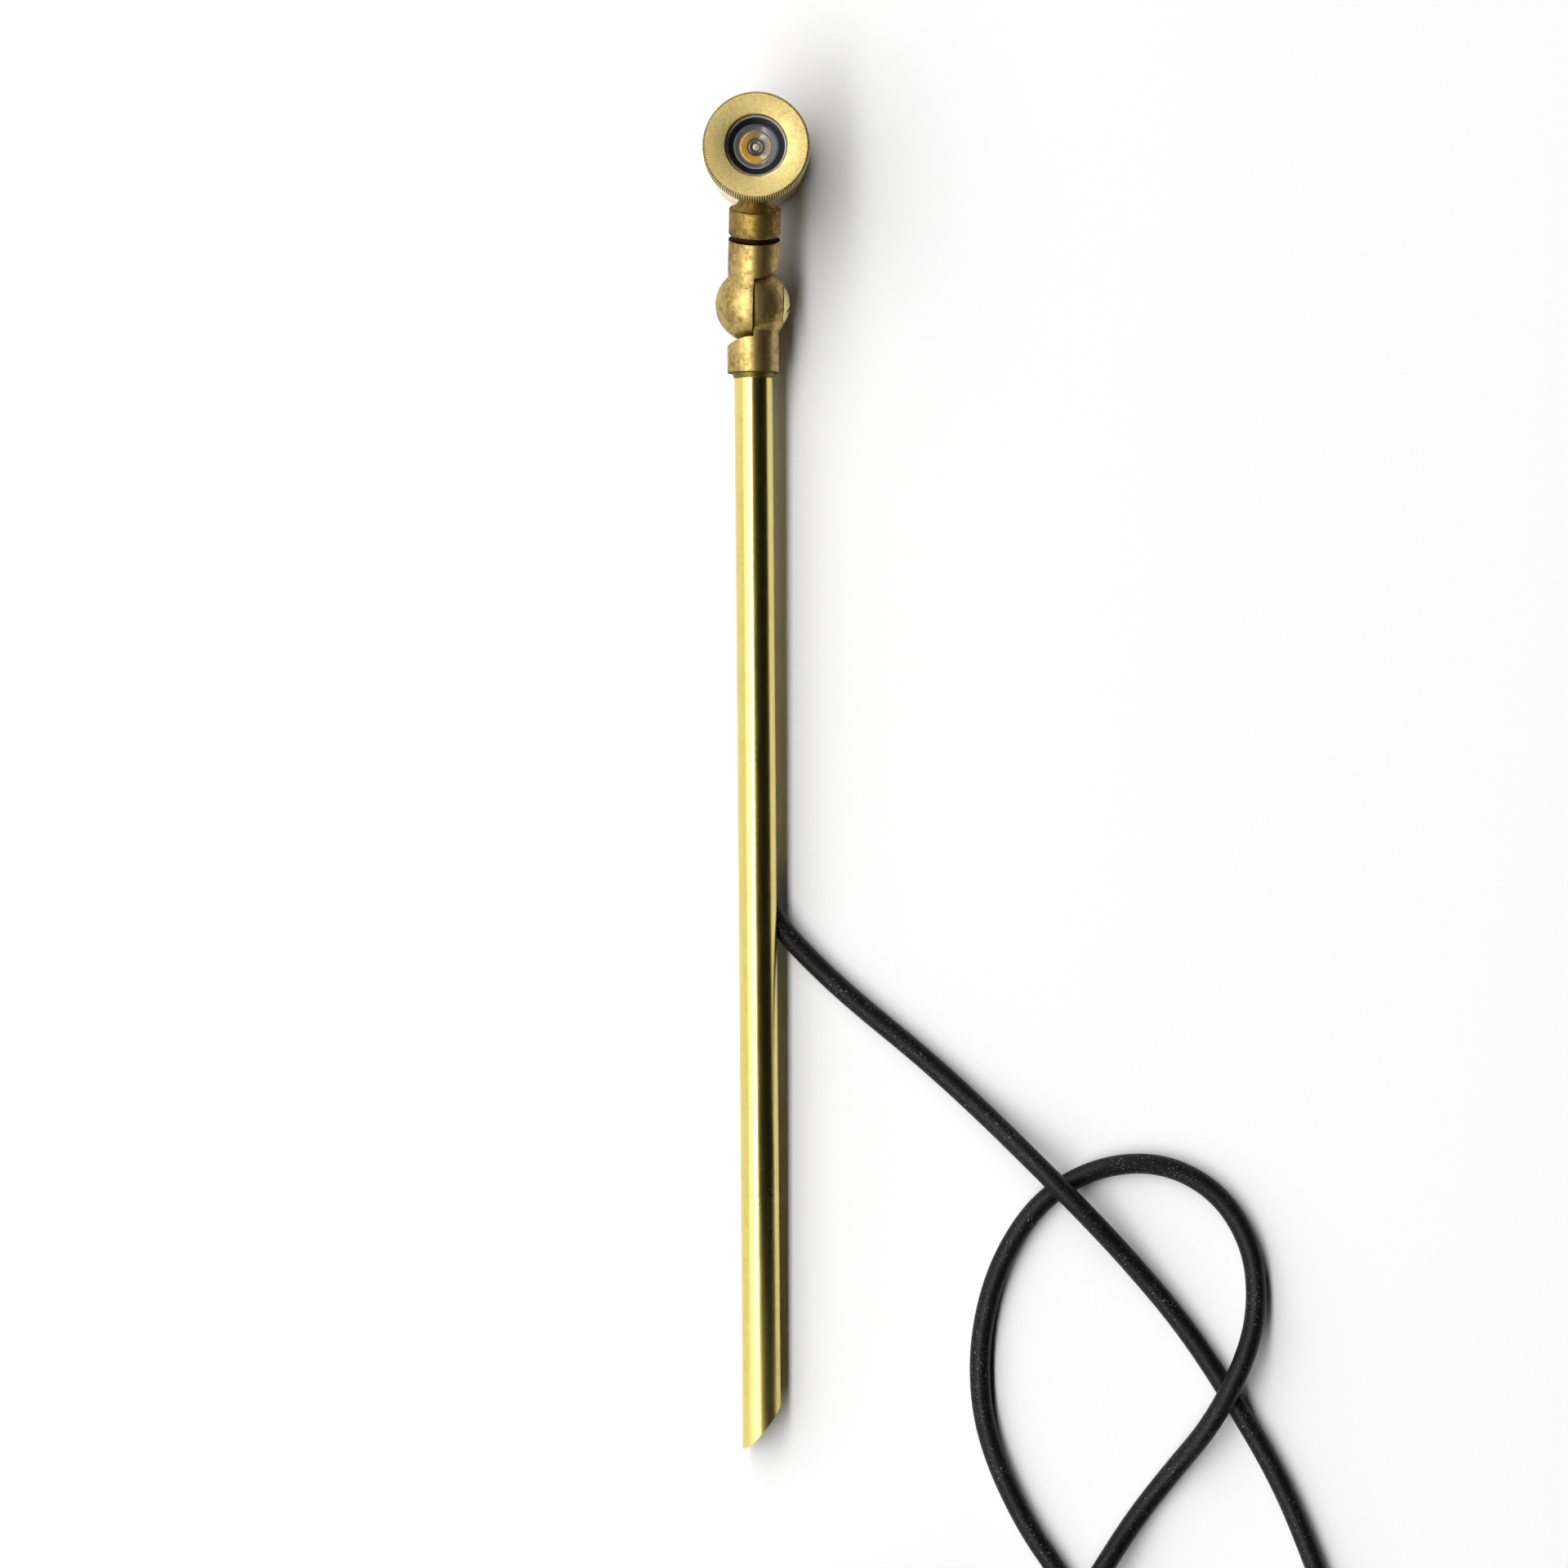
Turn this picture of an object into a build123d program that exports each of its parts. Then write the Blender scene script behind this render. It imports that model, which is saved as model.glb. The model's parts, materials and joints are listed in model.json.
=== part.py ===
from build123d import *
import math
import os

# Garden spike spotlight, millimetres and degrees. It lies on its back on a flat surface at height 0:
# +X to the right, +Y from the spike towards the lamp head, +Z up. The origin is under its middle.

# --- tube spike ---
tube_diameter = 15.0
tube_wall = 1.0
tube_reach = 444.3          # from the hinge to the longest point of the tip
tip_cut_angle = 42.0        # between the slanted cut and the tube
tip_cut_turn = 9.4          # how far the long side of the cut is turned up from the left
slot_place = 233.6          # from the hinge to the middle of the lead's slot
slot_length = 33.0
slot_width = 10.0
slot_azimuth = -33.0        # below the right side
grommet_wall = 0.6
grommet_lip = 0.5
collar_height = 1.6
collar_wide = 16.2
collar_narrow = 15.2

# --- knuckle ---
ball_diameter = 29.0
stem_diameter = 20.0
lower_stem_reach = 26.6
socket_floor = 18.0         # from the hinge to the end of the tube in its socket
hinge_skew = 2.0            # the hinge and all above it lean to the right
neck_aim_drop = 4.2         # the arm points at the head's axis this far below the top of its wall
split_offset = 0.5          # the joint face lies a little right of the middle
split_gap = 0.3
relief_radius = 16.3        # swept clear round the hinge for the other half's ball
bolt_flat_reach = 11.7
bolt_diameter = 6.0
bolt_depth = 10.0           # how far the bolt goes past the middle
bolt_head_diameter = 12.6
bolt_head_rim = 0.9
bolt_head_height = 2.5
bolt_slot_width = 1.3
bolt_slot_depth = 1.0
bolt_slot_turn = 35.0
bolt_crown_share = 0.62     # of the head's radius, where its crown is measured
bolt_crown_drop = 0.54      # below the top there
spring_washer_diameter = 10.6
spring_washer_thickness = 1.0
spring_washer_split = 0.8
boss_diameter = 9.6         # round the bolt, inside the wire chamber
chamber_diameter = 20.8
chamber_depth = 4.2
hinge_oring_diameter = 24.0
hinge_oring_section = 1.0
wire_bore_diameter = 4.4
wire_bore_offset = 4.4
running_clearance = 0.05
end_clearance = 0.2
edge_break = 0.4
ring_sides = 8
split_edge_break = 0.25

# --- swivel and neck ---
swivel_collar_diameter = 16.5
swivel_gap = 1.7            # between the knuckle's stem and the neck
swivel_thread_diameter = 12.0
swivel_thread_length = 6.0
swivel_spigot_diameter = 7.0
swivel_bore_diameter = 4.0
swivel_cup_diameter = 9.8   # wider room at the foot of the bore, where the wires come in from the side
swivel_cup_depth = 6.5
swivel_nut_flats = 8.0
swivel_nut_thickness = 2.8
swivel_oring_diameter = 12.6
swivel_oring_section = 1.2
neck_diameter = 20.0
neck_length = 10.3
neck_shoulder_gap = 2.5     # along the neck, between its shoulder and the lamp body
neck_edge_round = 1.0
neck_cone_wide = 15.4
neck_cone_narrow = 10.6
neck_cone_slope = 30.0      # between the cone's side and its axis
neck_spigot_stand = 2.4     # how far the neck's inner end stands into the lamp body

# --- lamp head ---
head_reach = 57.15          # from the hinge to the head's axis, seen from above
body_diameter = 38.0
body_bore_diameter = 32.0
body_floor = 2.5
body_height = 39.5
body_edge_round = 1.0
spigot_diameter = 35.0
spigot_height = 7.0
spigot_bore_diameter = 33.0
ledge_drop = 2.7            # below the top of the body's wall
bezel_diameter = 41.0
bezel_height = 12.5
bezel_face_chamfer = 1.0
bezel_rim_height = 1.2
bezel_plate = 1.4
aperture_diameter = 23.6
aperture_chamfer = 0.3
thread_clearance = 0.1
flute_pitch = 0.954
flute_depth = 0.35
flute_land = 0.35           # share of the pitch that stays plain
bezel_oring_section = 1.2
glass_diameter = 30.8
glass_thickness = 1.3
gasket_thickness = 0.3
gasket_opening = 23.1
trim_ring_thickness = 0.8
trim_ring_opening = 21.8
baffle_thickness = 0.8
baffle_rim_height = 0.7
baffle_opening = 17.2
lens_flange_diameter = 18.6
lens_flange_thickness = 1.1
lens_foot_diameter = 7.2
lens_foot_gap = 0.7
lens_recess_diameter = 5.4
lens_recess_depth = 2.6
holder_diameter = 27.0
holder_bore_diameter = 20.8
holder_ledge_bore = 17.6
holder_ledge_thickness = 1.2
board_diameter = 24.0
board_thickness = 1.2
board_lift = 1.4            # the front of the board above the body's wall
emitter_base_width = 3.5
emitter_base_thickness = 0.7
emitter_dome_diameter = 2.8
screw_place = 8.0           # from the head's axis
screw_count = 3
screw_turn = 30.0
screw_diameter = 2.0
screw_head_diameter = 3.4
screw_head_height = 1.2
driver_diameter = 24.0
driver_height = 15.0
conductor_diameter = 1.5
conductor_spacing = 1.9
led_wire_place = 7.0
driver_wire_place = 4.0     # from the head's axis, towards the neck
wire_straight = 8.0         # in the tube, before the wires bend to its middle
wire_shift = 16.0
wire_stub = 2.0             # how far the wires stay clear of the bolt's boss
sink_hole_diameter = 5.0

# --- rubber lead ---
cord_diameter = 8.0
sheath_end_reach = 62.0     # from the hinge to where the sheath is stripped inside the tube
sleeve_length = 16.0
sleeve_wall = 0.6
# Centreline corners, chosen by hand: out of the slot, across, back round below, over itself and away.
cord_route = [
    (-2.0, -18.0, 11.26), (-2.0, -37.0, 10.95), (4.0, -55.0, 6.6), (16.5, -69.5, 4.0), (34.0, -86.3, 4.0),
    (63.5, -110.7, 4.0), (88.0, -133.7, 6.0), (107.0, -152.6, 12.6), (123.5, -169.4, 12.6), (142.0, -189.5, 6.0),
    (163.0, -214.8, 4.0), (181.0, -242.5, 4.0), (199.5, -274.5, 4.0), (212.0, -305.0, 4.0),
    (223.0, -338.0, 4.0), (218.7, -363.1, 4.0), (202.8, -381.3, 4.0), (179.9, -389.4, 4.0), (156.1, -385.2, 4.0),
    (137.4, -369.8, 4.0), (127.5, -341.0, 4.0), (115.5, -314.0, 4.0), (99.8, -291.4, 4.0), (85.4, -258.5, 4.0),
    (82.3, -229.0, 4.0), (87.0, -201.0, 4.0), (97.7, -178.0, 4.0), (112.5, -161.5, 4.0), (134.0, -151.8, 4.0),
    (157.0, -151.8, 4.0), (177.5, -163.5, 4.0), (190.0, -184.5, 4.0), (191.7, -208.0, 6.0),
    (186.0, -228.0, 12.6), (173.0, -252.5, 12.6), (158.0, -271.8, 4.0), (143.0, -290.5, 4.0),
    (128.0, -311.5, 12.6), (112.2, -335.8, 12.6), (93.9, -366.8, 4.7), (81.7, -389.8, 4.7),
]
run_share = 0.45            # of the shorter run that a corner's arc takes up
coil_lead_in = 9.0
coil_outer_radius = 51.5
coil_pitch = 8.6
coil_layer = 8.6
quarters_in = 7             # quarter turns, inwards on the lower layer
quarters_out = 6            # and outwards on the upper one
tie_wall = 0.6
tie_width = 4.6
tie_clearance = 0.1
tie_corner = 3.0
tie_turn = 0.5              # turns from the coil's start to the tie
core_diameter = 2.6
core_spacing = 3.4
core_length = 20.0
ferrule_collar_diameter = 3.0
ferrule_collar_length = 6.0
ferrule_pin_diameter = 1.8
ferrule_pin_length = 8.0

# --- worked out ---
tube_radius = tube_diameter / 2
ball_radius = ball_diameter / 2
tip_slope = 1 / math.tan(math.radians(tip_cut_angle))
tip_middle_reach = tube_reach - tube_radius * tip_slope
tip_under_reach = tip_middle_reach - tube_radius * tip_slope * math.sin(math.radians(tip_cut_turn))
tube_tilt = math.degrees(math.asin((ball_radius - tube_radius) / tip_under_reach))
skew_cos = math.cos(math.radians(hinge_skew))
skew_sin = math.sin(math.radians(hinge_skew))
head_x = 0.0
head_y = (tube_reach + head_reach * skew_cos + bezel_diameter / 2) / 2 - bezel_diameter / 2
hinge_centre = Vector(head_x - head_reach * skew_sin, head_y - head_reach * skew_cos, ball_radius)
hinge_axis = Vector(skew_cos, -skew_sin, 0)
tube_axis = Vector(0, -math.cos(math.radians(tube_tilt)), -math.sin(math.radians(tube_tilt)))
arm_level = Vector(skew_sin, skew_cos, 0)
arm_slope = (body_height - neck_aim_drop - ball_radius) / head_reach
arm_cos = 1 / math.sqrt(1 + arm_slope**2)
arm_axis = (arm_level + Vector(0, 0, arm_slope)) * arm_cos
tube_frame = Plane(origin=hinge_centre, x_dir=(1, 0, 0), z_dir=tube_axis)
arm_frame = Plane(origin=hinge_centre, x_dir=hinge_axis, z_dir=arm_axis)
hinge_frame = Plane(origin=hinge_centre, x_dir=(0, 0, 1), z_dir=hinge_axis)
head_frame = Plane(origin=(head_x, head_y, 0), x_dir=(1, 0, 0), z_dir=(0, 0, 1))

lower_face = split_offset + split_gap / 2
upper_face = split_offset - split_gap / 2
neck_shoulder = (head_reach - body_diameter / 2) / arm_cos - neck_shoulder_gap
neck_start = neck_shoulder - neck_length
upper_stem_reach = neck_start - swivel_gap
neck_spigot_reach = (head_reach - body_bore_diameter / 2) / arm_cos + neck_spigot_stand
neck_bore_radius = swivel_spigot_diameter / 2 + running_clearance
nut_start = neck_spigot_reach + end_clearance
nut_end = nut_start + swivel_nut_thickness
bezel_front = body_height + bezel_height
ledge_height = body_height - ledge_drop
glass_front = bezel_front - bezel_plate - gasket_thickness
glass_back = glass_front - glass_thickness
trim_back = glass_back - trim_ring_thickness
baffle_back = trim_back - baffle_thickness
board_front = body_height + board_lift
board_back = board_front - board_thickness
lens_flange_back = baffle_back - lens_flange_thickness
cord_radius = cord_diameter / 2
quarters = round(quarters_in + quarters_out)
far_out = 60.0              # a length that reaches past any piece being cut


def rod(radius, start, end):
    """Round bar along the local Z axis."""
    return Pos(0, 0, start) * Cylinder(radius, end - start, align=(Align.CENTER, Align.CENTER, Align.MIN))


def ring(outer, inner, start, end):
    """Flat ring round the local Z axis."""
    return rod(outer, start, end) - rod(inner, start, end)


def turned(*outline):
    """Solid turned round the local Z axis from its corners, each a radius and a height."""
    corners = [(radius, 0, height) for radius, height in outline]
    return revolve(make_face(Polyline(*corners, close=True)), Axis.Z)


def rubber_ring(middle_radius, section, height):
    """O-ring, its round section drawn with eight sides."""
    section_plane = Plane(origin=(middle_radius, 0, height), x_dir=(1, 0, 0), z_dir=(0, 1, 0))
    return revolve(section_plane * RegularPolygon(section / 2, ring_sides), Axis.Z)


def placed(shape, frame):
    """A shape drawn in a local frame, put in its place on the object."""
    return frame.location * shape


def swept(path, radius):
    """Round cord along a path."""
    section = Plane(origin=path @ 0, z_dir=path % 0) * Circle(radius)
    return sweep(section, path=path)


def bent_path(points, share=run_share):
    """Straight runs joined by tangent arcs, each as large as its two runs allow."""
    corners = [Vector(*point) for point in points]
    radii = []
    for before, corner, after in zip(corners, corners[1:], corners[2:]):
        shorter = min((corner - before).length, (after - corner).length)
        half_turn = math.radians((corner - before).get_angle(after - corner)) / 2
        radii.append(share * shorter / math.tan(half_turn))
    return FilletPolyline(*corners, radius=radii), radii


# --- spike ---
def spike_tube():
    outer = rod(tube_radius, socket_floor, tube_reach + tube_radius)
    bore = rod(tube_radius - tube_wall, socket_floor, tube_reach + tube_radius)
    turn = math.radians(tip_cut_turn)
    cut_normal = (tip_slope * math.cos(turn), -tip_slope * math.sin(turn), 1)
    cut_plane = Plane(origin=(0, 0, tip_middle_reach), z_dir=cut_normal)
    tube = split(outer - bore, bisect_by=cut_plane, keep=Keep.BOTTOM)
    return placed(tube - slot_prism(slot_length, slot_width, 0, far_out), tube_frame)


def slot_prism(length, width, start, end):
    """Round-ended bar through the tube's side, where the lead comes out."""
    face = Plane(
        origin=(0, 0, slot_place),
        x_dir=(0, 0, 1),
        z_dir=(math.cos(math.radians(slot_azimuth)), math.sin(math.radians(slot_azimuth)), 0),
    )
    outline = face.offset(start) * SlotOverall(length, width)
    return extrude(outline, amount=end - start)


def slot_grommet():
    opening = slot_prism(slot_length - 2 * grommet_wall, slot_width - 2 * grommet_wall, 0, far_out)
    edging = slot_prism(slot_length, slot_width, 0, far_out)
    lip = slot_prism(slot_length + 2 * grommet_lip, slot_width + 2 * grommet_lip, 0, far_out)
    near, far = slot_place - slot_length, slot_place + slot_length
    wall_ring = ring(tube_radius, tube_radius - tube_wall, near, far)
    inner_ring = ring(tube_radius - tube_wall, tube_radius - tube_wall - grommet_lip, near, far)
    return placed((edging & wall_ring) + (lip & inner_ring) - opening, tube_frame)


def tube_collar():
    start = lower_stem_reach
    end = start + collar_height
    collar = turned((tube_radius, start), (collar_wide / 2, start), (collar_narrow / 2, end), (tube_radius, end))
    return placed(collar, tube_frame)


# --- knuckle ---
def ball_side(start, end):
    """Slice of the ball between two distances along the hinge axis."""
    return Sphere(ball_radius) & rod(ball_radius + 1, start, end)


def wire_chamber(start, end):
    """Ring-shaped room for the wires round the bolt's boss."""
    return ring(chamber_diameter / 2, boss_diameter / 2, start, end)


def lower_knuckle():
    stem = rod(stem_diameter / 2, 0, lower_stem_reach)
    stem = chamfer(stem.edges().sort_by(Axis.Z)[-1], edge_break)
    swept_room = placed(rod(relief_radius, -far_out, lower_face), hinge_frame)
    half_ball = ball_side(lower_face, bolt_flat_reach)
    half_ball = chamfer(half_ball.edges().sort_by(Axis.Z)[0], split_edge_break)
    body = (placed(stem, tube_frame) - swept_room) + placed(half_ball, hinge_frame)
    bores = rod(bolt_diameter / 2 + running_clearance, 0, far_out)
    washer_seat = rod(spring_washer_diameter / 2 + end_clearance, bolt_flat_reach - spring_washer_thickness, far_out)
    groove = ring(
        (hinge_oring_diameter + hinge_oring_section) / 2 + running_clearance,
        (hinge_oring_diameter - hinge_oring_section) / 2 - running_clearance,
        0,
        upper_face + hinge_oring_section,
    )
    body -= placed(bores + washer_seat + groove + wire_chamber(0, lower_face + chamber_depth), hinge_frame)
    socket = rod(tube_radius, socket_floor, far_out)
    wire_bore = Pos(wire_bore_offset, 0, 0) * rod(wire_bore_diameter / 2, boss_diameter / 2 + 1, far_out)
    return body - placed(socket + wire_bore, tube_frame)


def upper_knuckle():
    stem = rod(stem_diameter / 2, 0, upper_stem_reach)
    stem = chamfer(stem.edges().sort_by(Axis.Z)[-1], edge_break)
    swept_room = placed(rod(relief_radius, upper_face, far_out), hinge_frame)
    half_ball = ball_side(-ball_radius, upper_face)
    half_ball = chamfer(half_ball.edges().sort_by(Axis.Z)[-1], split_edge_break)
    body = (placed(stem, arm_frame) - swept_room) + placed(half_ball, hinge_frame)
    tapped_hole = rod(bolt_diameter / 2, -bolt_depth, far_out)
    body -= placed(tapped_hole + wire_chamber(upper_face - chamber_depth, 1), hinge_frame)
    thread_start = upper_stem_reach - swivel_thread_length - 2 * end_clearance
    thread_hole = rod(swivel_thread_diameter / 2, thread_start, far_out)
    wire_bore = Pos(-wire_bore_offset + 2 * split_offset, 0, 0) * rod(
        wire_bore_diameter / 2, boss_diameter / 2 + 1, far_out
    )
    return body - placed(thread_hole + (wire_bore & rod(chamber_diameter, 0, thread_start + 1)), arm_frame)


def hinge_bolt():
    seat = bolt_flat_reach + running_clearance
    rim = seat + bolt_head_rim
    top = seat + bolt_head_height
    half_head = bolt_head_diameter / 2
    side = Polyline((0, 0, top), (0, 0, seat), (half_head, 0, seat), (half_head, 0, rim))
    crown_point = (half_head * bolt_crown_share, 0, top - bolt_crown_drop)
    crown = ThreePointArc((half_head, 0, rim), crown_point, (0, 0, top))
    head = revolve(make_face(side + crown), Axis.Z)
    slot = Pos(0, 0, top) * Box(bolt_head_diameter, bolt_slot_width, 2 * bolt_slot_depth)
    shank = rod(bolt_diameter / 2, -bolt_depth + running_clearance, seat)
    return placed(head - Rot(0, 0, bolt_slot_turn) * slot + shank, hinge_frame)


def spring_washer():
    start = bolt_flat_reach - spring_washer_thickness
    washer = ring(spring_washer_diameter / 2, bolt_diameter / 2 + end_clearance, start, bolt_flat_reach)
    gap = Pos(spring_washer_diameter / 2, 0, start) * Box(spring_washer_diameter, spring_washer_split, far_out)
    return placed(washer - gap, hinge_frame)


def friction_washer():
    return placed(
        ring(boss_diameter / 2, bolt_diameter / 2 + running_clearance, upper_face, lower_face),
        hinge_frame,
    )


def hinge_oring():
    height = upper_face + hinge_oring_section / 2
    return placed(rubber_ring(hinge_oring_diameter / 2, hinge_oring_section, height), hinge_frame)


# --- swivel ---
def swivel_stem():
    thread_start = upper_stem_reach - swivel_thread_length
    collar_top = neck_start - end_clearance
    bore = swivel_bore_diameter / 2
    thread = swivel_thread_diameter / 2
    collar = swivel_collar_diameter / 2
    spigot = swivel_spigot_diameter / 2
    cup = swivel_cup_diameter / 2
    cup_top = thread_start + swivel_cup_depth
    stem = turned(
        (cup, thread_start), (thread, thread_start), (thread, upper_stem_reach), (collar, upper_stem_reach),
        (collar, collar_top), (spigot, collar_top), (spigot, nut_end), (bore, nut_end), (bore, cup_top),
        (cup, cup_top),
    )
    return placed(stem, arm_frame)


def swivel_nut():
    outline = RegularPolygon(swivel_nut_flats / 2, 6, major_radius=False)
    hole = rod(swivel_spigot_diameter / 2, nut_start, nut_end)
    nut = extrude(Pos(0, 0, nut_start) * outline, amount=swivel_nut_thickness) - hole
    return placed(nut, arm_frame)


def swivel_oring():
    height = neck_start - end_clearance + swivel_oring_section / 2 + running_clearance
    return placed(rubber_ring(swivel_oring_diameter / 2, swivel_oring_section, height), arm_frame)


def head_neck():
    outer = neck_diameter / 2
    wide = neck_cone_wide / 2
    narrow = neck_cone_narrow / 2
    cone_end = neck_shoulder + (wide - narrow) / math.tan(math.radians(neck_cone_slope))
    body = turned(
        (0, neck_start), (outer, neck_start), (outer, neck_shoulder), (wide, neck_shoulder),
        (narrow, cone_end), (0, cone_end),
    )
    body = fillet(body.edges().sort_by(Axis.Z)[0], neck_edge_round)
    body = placed(body, arm_frame) - placed(rod(body_diameter / 2, 0, body_height), head_frame)
    spigot = rod(narrow, neck_shoulder, neck_spigot_reach)
    groove_depth = swivel_oring_section - end_clearance + running_clearance
    groove = ring(
        (swivel_oring_diameter + swivel_oring_section) / 2 + running_clearance,
        (swivel_oring_diameter - swivel_oring_section) / 2 - running_clearance,
        neck_start,
        neck_start + groove_depth,
    )
    bore = rod(neck_bore_radius, 0, far_out)
    return body + placed(spigot, arm_frame) - placed(bore + groove, arm_frame)


# --- lamp head ---
def head_body():
    outer = body_diameter / 2
    spigot = spigot_diameter / 2
    spigot_bore = spigot_bore_diameter / 2
    bore = body_bore_diameter / 2
    spigot_top = body_height + spigot_height
    body = turned(
        (0, 0), (outer, 0), (outer, body_height), (spigot, body_height), (spigot, spigot_top),
        (spigot_bore, spigot_top), (spigot_bore, ledge_height), (bore, ledge_height), (bore, body_floor),
        (0, body_floor),
    )
    body = fillet(body.edges().group_by(Axis.Z)[0], body_edge_round)
    neck_hole = rod(neck_cone_narrow / 2, neck_start, neck_spigot_reach)
    return placed(body, head_frame) - placed(neck_hole, arm_frame)


def fluted_bar(start, end):
    """Bar with the bezel's straight knurl: V grooves side by side."""
    count = round(math.pi * bezel_diameter / flute_pitch)
    step = 2 * math.pi / count
    crest = bezel_diameter / 2
    corners = []
    for flute in range(count):
        middle = flute * step
        for radius, angle in (
            (crest, middle - step * flute_land / 2),
            (crest, middle + step * flute_land / 2),
            (crest - flute_depth, middle + step / 2),
        ):
            corners.append((radius * math.cos(angle), radius * math.sin(angle), start))
    return extrude(make_face(Polyline(*corners, close=True)), amount=end - start)


def bezel_ring():
    crest = bezel_diameter / 2
    thread = spigot_diameter / 2 + thread_clearance
    room = glass_diameter / 2 + thread_clearance
    opening = aperture_diameter / 2
    face_edge = bezel_front - bezel_face_chamfer
    plate_back = bezel_front - bezel_plate
    room_back = body_height + spigot_height + end_clearance
    oring_room = body_height + bezel_oring_section
    oring_reach = thread + bezel_oring_section
    bezel = turned(
        (oring_reach, body_height), (crest, body_height), (crest, face_edge),
        (crest - bezel_face_chamfer, bezel_front), (opening + aperture_chamfer, bezel_front),
        (opening, bezel_front - aperture_chamfer), (opening, plate_back), (room, plate_back),
        (room, room_back), (thread, room_back), (thread, oring_room), (oring_reach, oring_room),
    )
    rim_top = body_height + bezel_rim_height
    grip = fluted_bar(rim_top, bezel_front) + rod(crest, body_height, rim_top)
    return placed(bezel & grip, head_frame)


def bezel_oring():
    middle = spigot_diameter / 2 + thread_clearance + bezel_oring_section / 2
    height = body_height + bezel_oring_section / 2
    return placed(rubber_ring(middle, bezel_oring_section, height), head_frame)


def front_glass():
    return placed(rod(glass_diameter / 2, glass_back, glass_front), head_frame)


def glass_gasket():
    start = glass_front
    return placed(ring(glass_diameter / 2, gasket_opening / 2, start, start + gasket_thickness), head_frame)


def trim_ring():
    inner = trim_ring_opening / 2
    outer = glass_diameter / 2
    bevel = trim_ring_thickness / 2
    profile = turned(
        (inner, trim_back), (outer, trim_back), (outer, glass_back), (inner + bevel, glass_back),
        (inner, glass_back - bevel),
    )
    return placed(profile, head_frame)


def lens_baffle():
    rim = trim_ring_opening / 2 - running_clearance
    inner = baffle_opening / 2
    rim_top = trim_back + baffle_rim_height
    profile = turned(
        (inner, baffle_back), (glass_diameter / 2, baffle_back), (glass_diameter / 2, trim_back),
        (rim, trim_back), (rim, rim_top), (rim - aperture_chamfer, rim_top), (inner, baffle_back + edge_break / 2),
    )
    return placed(profile, head_frame)


def optic_lens():
    flange = lens_flange_diameter / 2
    shoulder = holder_ledge_bore / 2 - 3 * running_clearance
    foot = lens_foot_diameter / 2
    foot_height = board_front + lens_foot_gap
    recess = lens_recess_diameter / 2
    recess_top = foot_height + lens_recess_depth
    profile = turned(
        (0, recess_top), (recess, recess_top), (recess, foot_height), (foot, foot_height),
        (shoulder, lens_flange_back), (flange, lens_flange_back), (flange, baffle_back), (0, baffle_back),
    )
    return placed(profile, head_frame)


def lens_holder():
    outer = holder_diameter / 2
    skirt = holder_bore_diameter / 2
    ledge = holder_ledge_bore / 2
    pocket = lens_flange_diameter / 2 + running_clearance
    ledge_back = lens_flange_back - holder_ledge_thickness
    profile = turned(
        (skirt, board_front), (outer, board_front), (outer, baffle_back), (pocket, baffle_back),
        (pocket, lens_flange_back), (ledge, lens_flange_back), (ledge, ledge_back), (skirt, ledge_back),
    )
    return placed(profile, head_frame)


def led_board():
    screw_holes = Compound(screw_places(rod(screw_diameter / 2, board_back, board_front)))
    return placed(rod(board_diameter / 2, board_back, board_front) - screw_holes, head_frame)


def screw_places(shape):
    """Copies of a shape at each of the board's screws."""
    copies = []
    for number in range(round(screw_count)):
        copies.append(Rot(0, 0, screw_turn + number * 360 / screw_count) * Pos(screw_place, 0, 0) * shape)
    return copies


def led_emitter():
    top = board_front + emitter_base_thickness
    base = Pos(0, 0, board_front) * Box(
        emitter_base_width, emitter_base_width, emitter_base_thickness, align=(Align.CENTER, Align.CENTER, Align.MIN)
    )
    dome = Pos(0, 0, top) * Sphere(emitter_dome_diameter / 2) & rod(emitter_base_width, top, board_front + far_out)
    return placed(base + dome, head_frame)


def led_screws():
    shank = rod(screw_diameter / 2, ledge_height + end_clearance, board_front)
    head = rod(screw_head_diameter / 2, board_front, board_front + screw_head_height)
    return placed(Compound(screw_places(shank + head)), head_frame)


def heat_sink():
    disc = rod(spigot_bore_diameter / 2 - running_clearance, ledge_height, board_back)
    wire_hole = Pos(0, led_wire_place, 0) * rod(sink_hole_diameter / 2, ledge_height, board_back)
    screw_holes = Compound(screw_places(rod(screw_diameter / 2, ledge_height, board_back)))
    return placed(disc - wire_hole - screw_holes, head_frame)


def driver_module():
    block = rod(driver_diameter / 2, body_floor, body_floor + driver_height)
    return placed(chamfer(block.edges().sort_by(Axis.Z)[-1], edge_break * 2), head_frame)


# --- wires ---
def wire_pair(points, frame):
    """Two conductors side by side along the same corners."""
    wires = []
    for side in (-0.5, 0.5):
        shifted = [(x, y + side * conductor_spacing, z) for x, y, z in points]
        wires.append(swept(bent_path(shifted)[0], conductor_diameter / 2))
    return placed(Compound(wires), frame)


def tube_wires():
    chamber_end = boss_diameter / 2 + wire_stub
    bend_start = socket_floor + wire_straight
    return wire_pair(
        [
            (wire_bore_offset, 0, chamber_end), (wire_bore_offset, 0, bend_start),
            (0, 0, bend_start + wire_shift), (0, 0, sheath_end_reach),
        ],
        tube_frame,
    )


def stem_wires():
    offset = -wire_bore_offset + 2 * split_offset
    thread_start = upper_stem_reach - swivel_thread_length
    return wire_pair(
        [
            (offset, 0, boss_diameter / 2 + wire_stub), (offset, 0, thread_start + end_clearance * 2),
            (0, 0, thread_start + swivel_cup_depth - end_clearance), (0, 0, nut_end),
        ],
        arm_frame,
    )


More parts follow.
